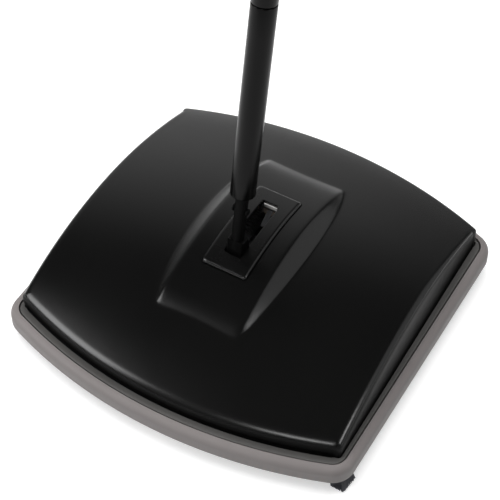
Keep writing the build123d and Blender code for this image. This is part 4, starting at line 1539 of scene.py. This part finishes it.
@dataclass(frozen=True)
class SoftBox:
    """One area lamp: a soft box, or a card that only the gloss shows."""

    name: str
    at: Point
    size: tuple[float, float]
    watts: float
    mirrored: bool = True
    lighting: bool = True

    def build(self, target: Point) -> None:
        """Hang the lamp.

        Args:
            target: Point that it faces.
        """
        light = bpy.data.lights.new(self.name, "AREA")
        light.shape = "RECTANGLE"
        light.size, light.size_y = self.size
        light.energy = self.watts
        lamp = scene_object(self.name, light)
        lamp.location = self.at
        lamp.visible_glossy = self.mirrored
        lamp.visible_diffuse = self.lighting
        lamp.rotation_euler = aimed(self.at, target)


@dataclass
class Studio:
    """Pale floor, soft light and the camera at the photograph's angle."""

    camera_at: Point = (0.4001, -0.6919, 1.0101)
    camera_to: Point = (-0.0287, 0.04396, 0.0)
    lens: float = 116.2
    sensor_width: float = 36.0
    clip: tuple[float, float] = (0.05, 50.0)
    floor_size: float = 12.0
    floor_tone: Colour = (0.72, 0.72, 0.72)
    floor_roughness: float = 0.9
    floor_specular: float = 0.1
    floor_glow: float = 0.5
    far_glow: float = 0.24
    glow_near: float = 0.5
    glow_far: float = 1.6
    sky_brightest: Point = (-0.5785, 0.7405, 0.342)
    sky_nearness: tuple[float, ...] = (0.6, 0.76, 0.86, 0.94, 1.0)
    sky_levels: tuple[float, ...] = (0.045, 0.07, 0.26, 0.52, 0.74)
    lamp_target: Point = (0.0, 0.0, 0.06)
    lamps: tuple[SoftBox, ...] = (
        SoftBox("key_softbox", (-1.14, -1.06, 0.9), (0.9, 0.8), 15.0),
        SoftBox("right_card", (1.4, 0.95, 0.95), (2.4, 1.6), 7.5, lighting=False),
        SoftBox("corner_card", (1.62, -0.23, 0.99), (0.5, 0.5), 6.0, lighting=False),
        SoftBox("front_card", (0.345, -1.62, 1.12), (0.6, 0.36), 5.5, lighting=False),
        SoftBox("top_softbox", (0.0, 0.0, 2.2), (2.0, 2.0), 66.0, mirrored=False),
    )

    def floor(self) -> None:
        """A wide flat sheet under the sweeper, which glows for the camera and for reflections.

        The glow fades from the sweeper outwards.
        """
        plan = self.floor_size / 2 * np.array([[-1, -1], [1, -1], [1, 1], [-1, 1]])
        sheet = mesh_object("studio_floor", with_height(plan, 0.0), np.array([[0, 1, 2, 3]]))
        bench = ShaderBench("floor_white")
        path = add_node(bench.tree, "LightPath").outputs
        seen = path["Is Camera Ray"]
        for kind in ("Is Glossy Ray", "Is Transmission Ray"):
            either = add_node(bench.tree, "Math", {0: seen, 1: path[kind]}, operation="MAXIMUM")
            seen = either.outputs["Value"]
        away = add_node(bench.tree, "VectorMath", {0: own_place(bench.tree)}, operation="LENGTH")
        glow = (self.floor_glow, self.far_glow)
        fade = bench.map_range(away.outputs["Value"], self.glow_near, self.glow_far, *glow)
        shown = add_node(bench.tree, "Math", {0: seen, 1: fade}, operation="MULTIPLY")
        bench.shade(
            Base_Color=(*self.floor_tone, 1.0),
            Roughness=self.floor_roughness,
            Specular_IOR_Level=self.floor_specular,
            Emission_Color=(1.0, 1.0, 1.0, 1.0),
            Emission_Strength=shown.outputs["Value"],
        )
        sheet.data.materials.append(bench.material)

    def sky(self) -> None:
        """Soft light from the room: a pale glow low to the rear left, and dim elsewhere.

        The level follows a ramp over the dot product of the direction with the brightest one.
        """
        world = bpy.data.worlds.new("studio")
        bpy.context.scene.world = world
        world.use_nodes = True
        tree = world.node_tree
        directions = {0: add_node(tree, "TexCoord").outputs["Generated"], 1: self.sky_brightest}
        facing = add_node(tree, "VectorMath", directions, operation="DOT_PRODUCT")
        ramp = add_node(tree, "ValToRGB", {"Fac": facing.outputs["Value"]})
        stops = ramp.color_ramp.elements
        while len(stops) < len(self.sky_nearness):
            stops.new(0.5)
        for stop, nearness, level in zip(stops, self.sky_nearness, self.sky_levels):
            stop.position = nearness
            stop.color = (level, level, level, 1.0)
        tree.links.new(ramp.outputs["Color"], tree.nodes["Background"].inputs["Color"])

    def camera(self) -> None:
        """The camera, from the front right and above."""
        data = bpy.data.cameras.new("camera")
        data.lens = self.lens
        data.sensor_width = self.sensor_width
        data.clip_start, data.clip_end = self.clip
        camera = scene_object("camera", data)
        camera.location = self.camera_at
        camera.rotation_euler = aimed(self.camera_at, self.camera_to)
        bpy.context.scene.camera = camera

    def build(self) -> None:
        """Set the stage."""
        self.floor()
        self.sky()
        for lamp in self.lamps:
            lamp.build(self.lamp_target)
        self.camera()
        bpy.context.scene.view_settings.view_transform = "Standard"


def main() -> None:
    """Build every sub-assembly in order, then the studio round it."""
    logging.basicConfig(level=logging.INFO, format="%(name)s: %(message)s")
    assemblies = [CoverAssembly(), HandleAssembly(), BrushRoll(), Underside()]
    assemblies += [part(corner) for corner in Corner for part in (Edger, Wheel)]
    for assembly in assemblies:
        assembly.build()
    Studio().build()


if __name__ == "__main__":
    main()
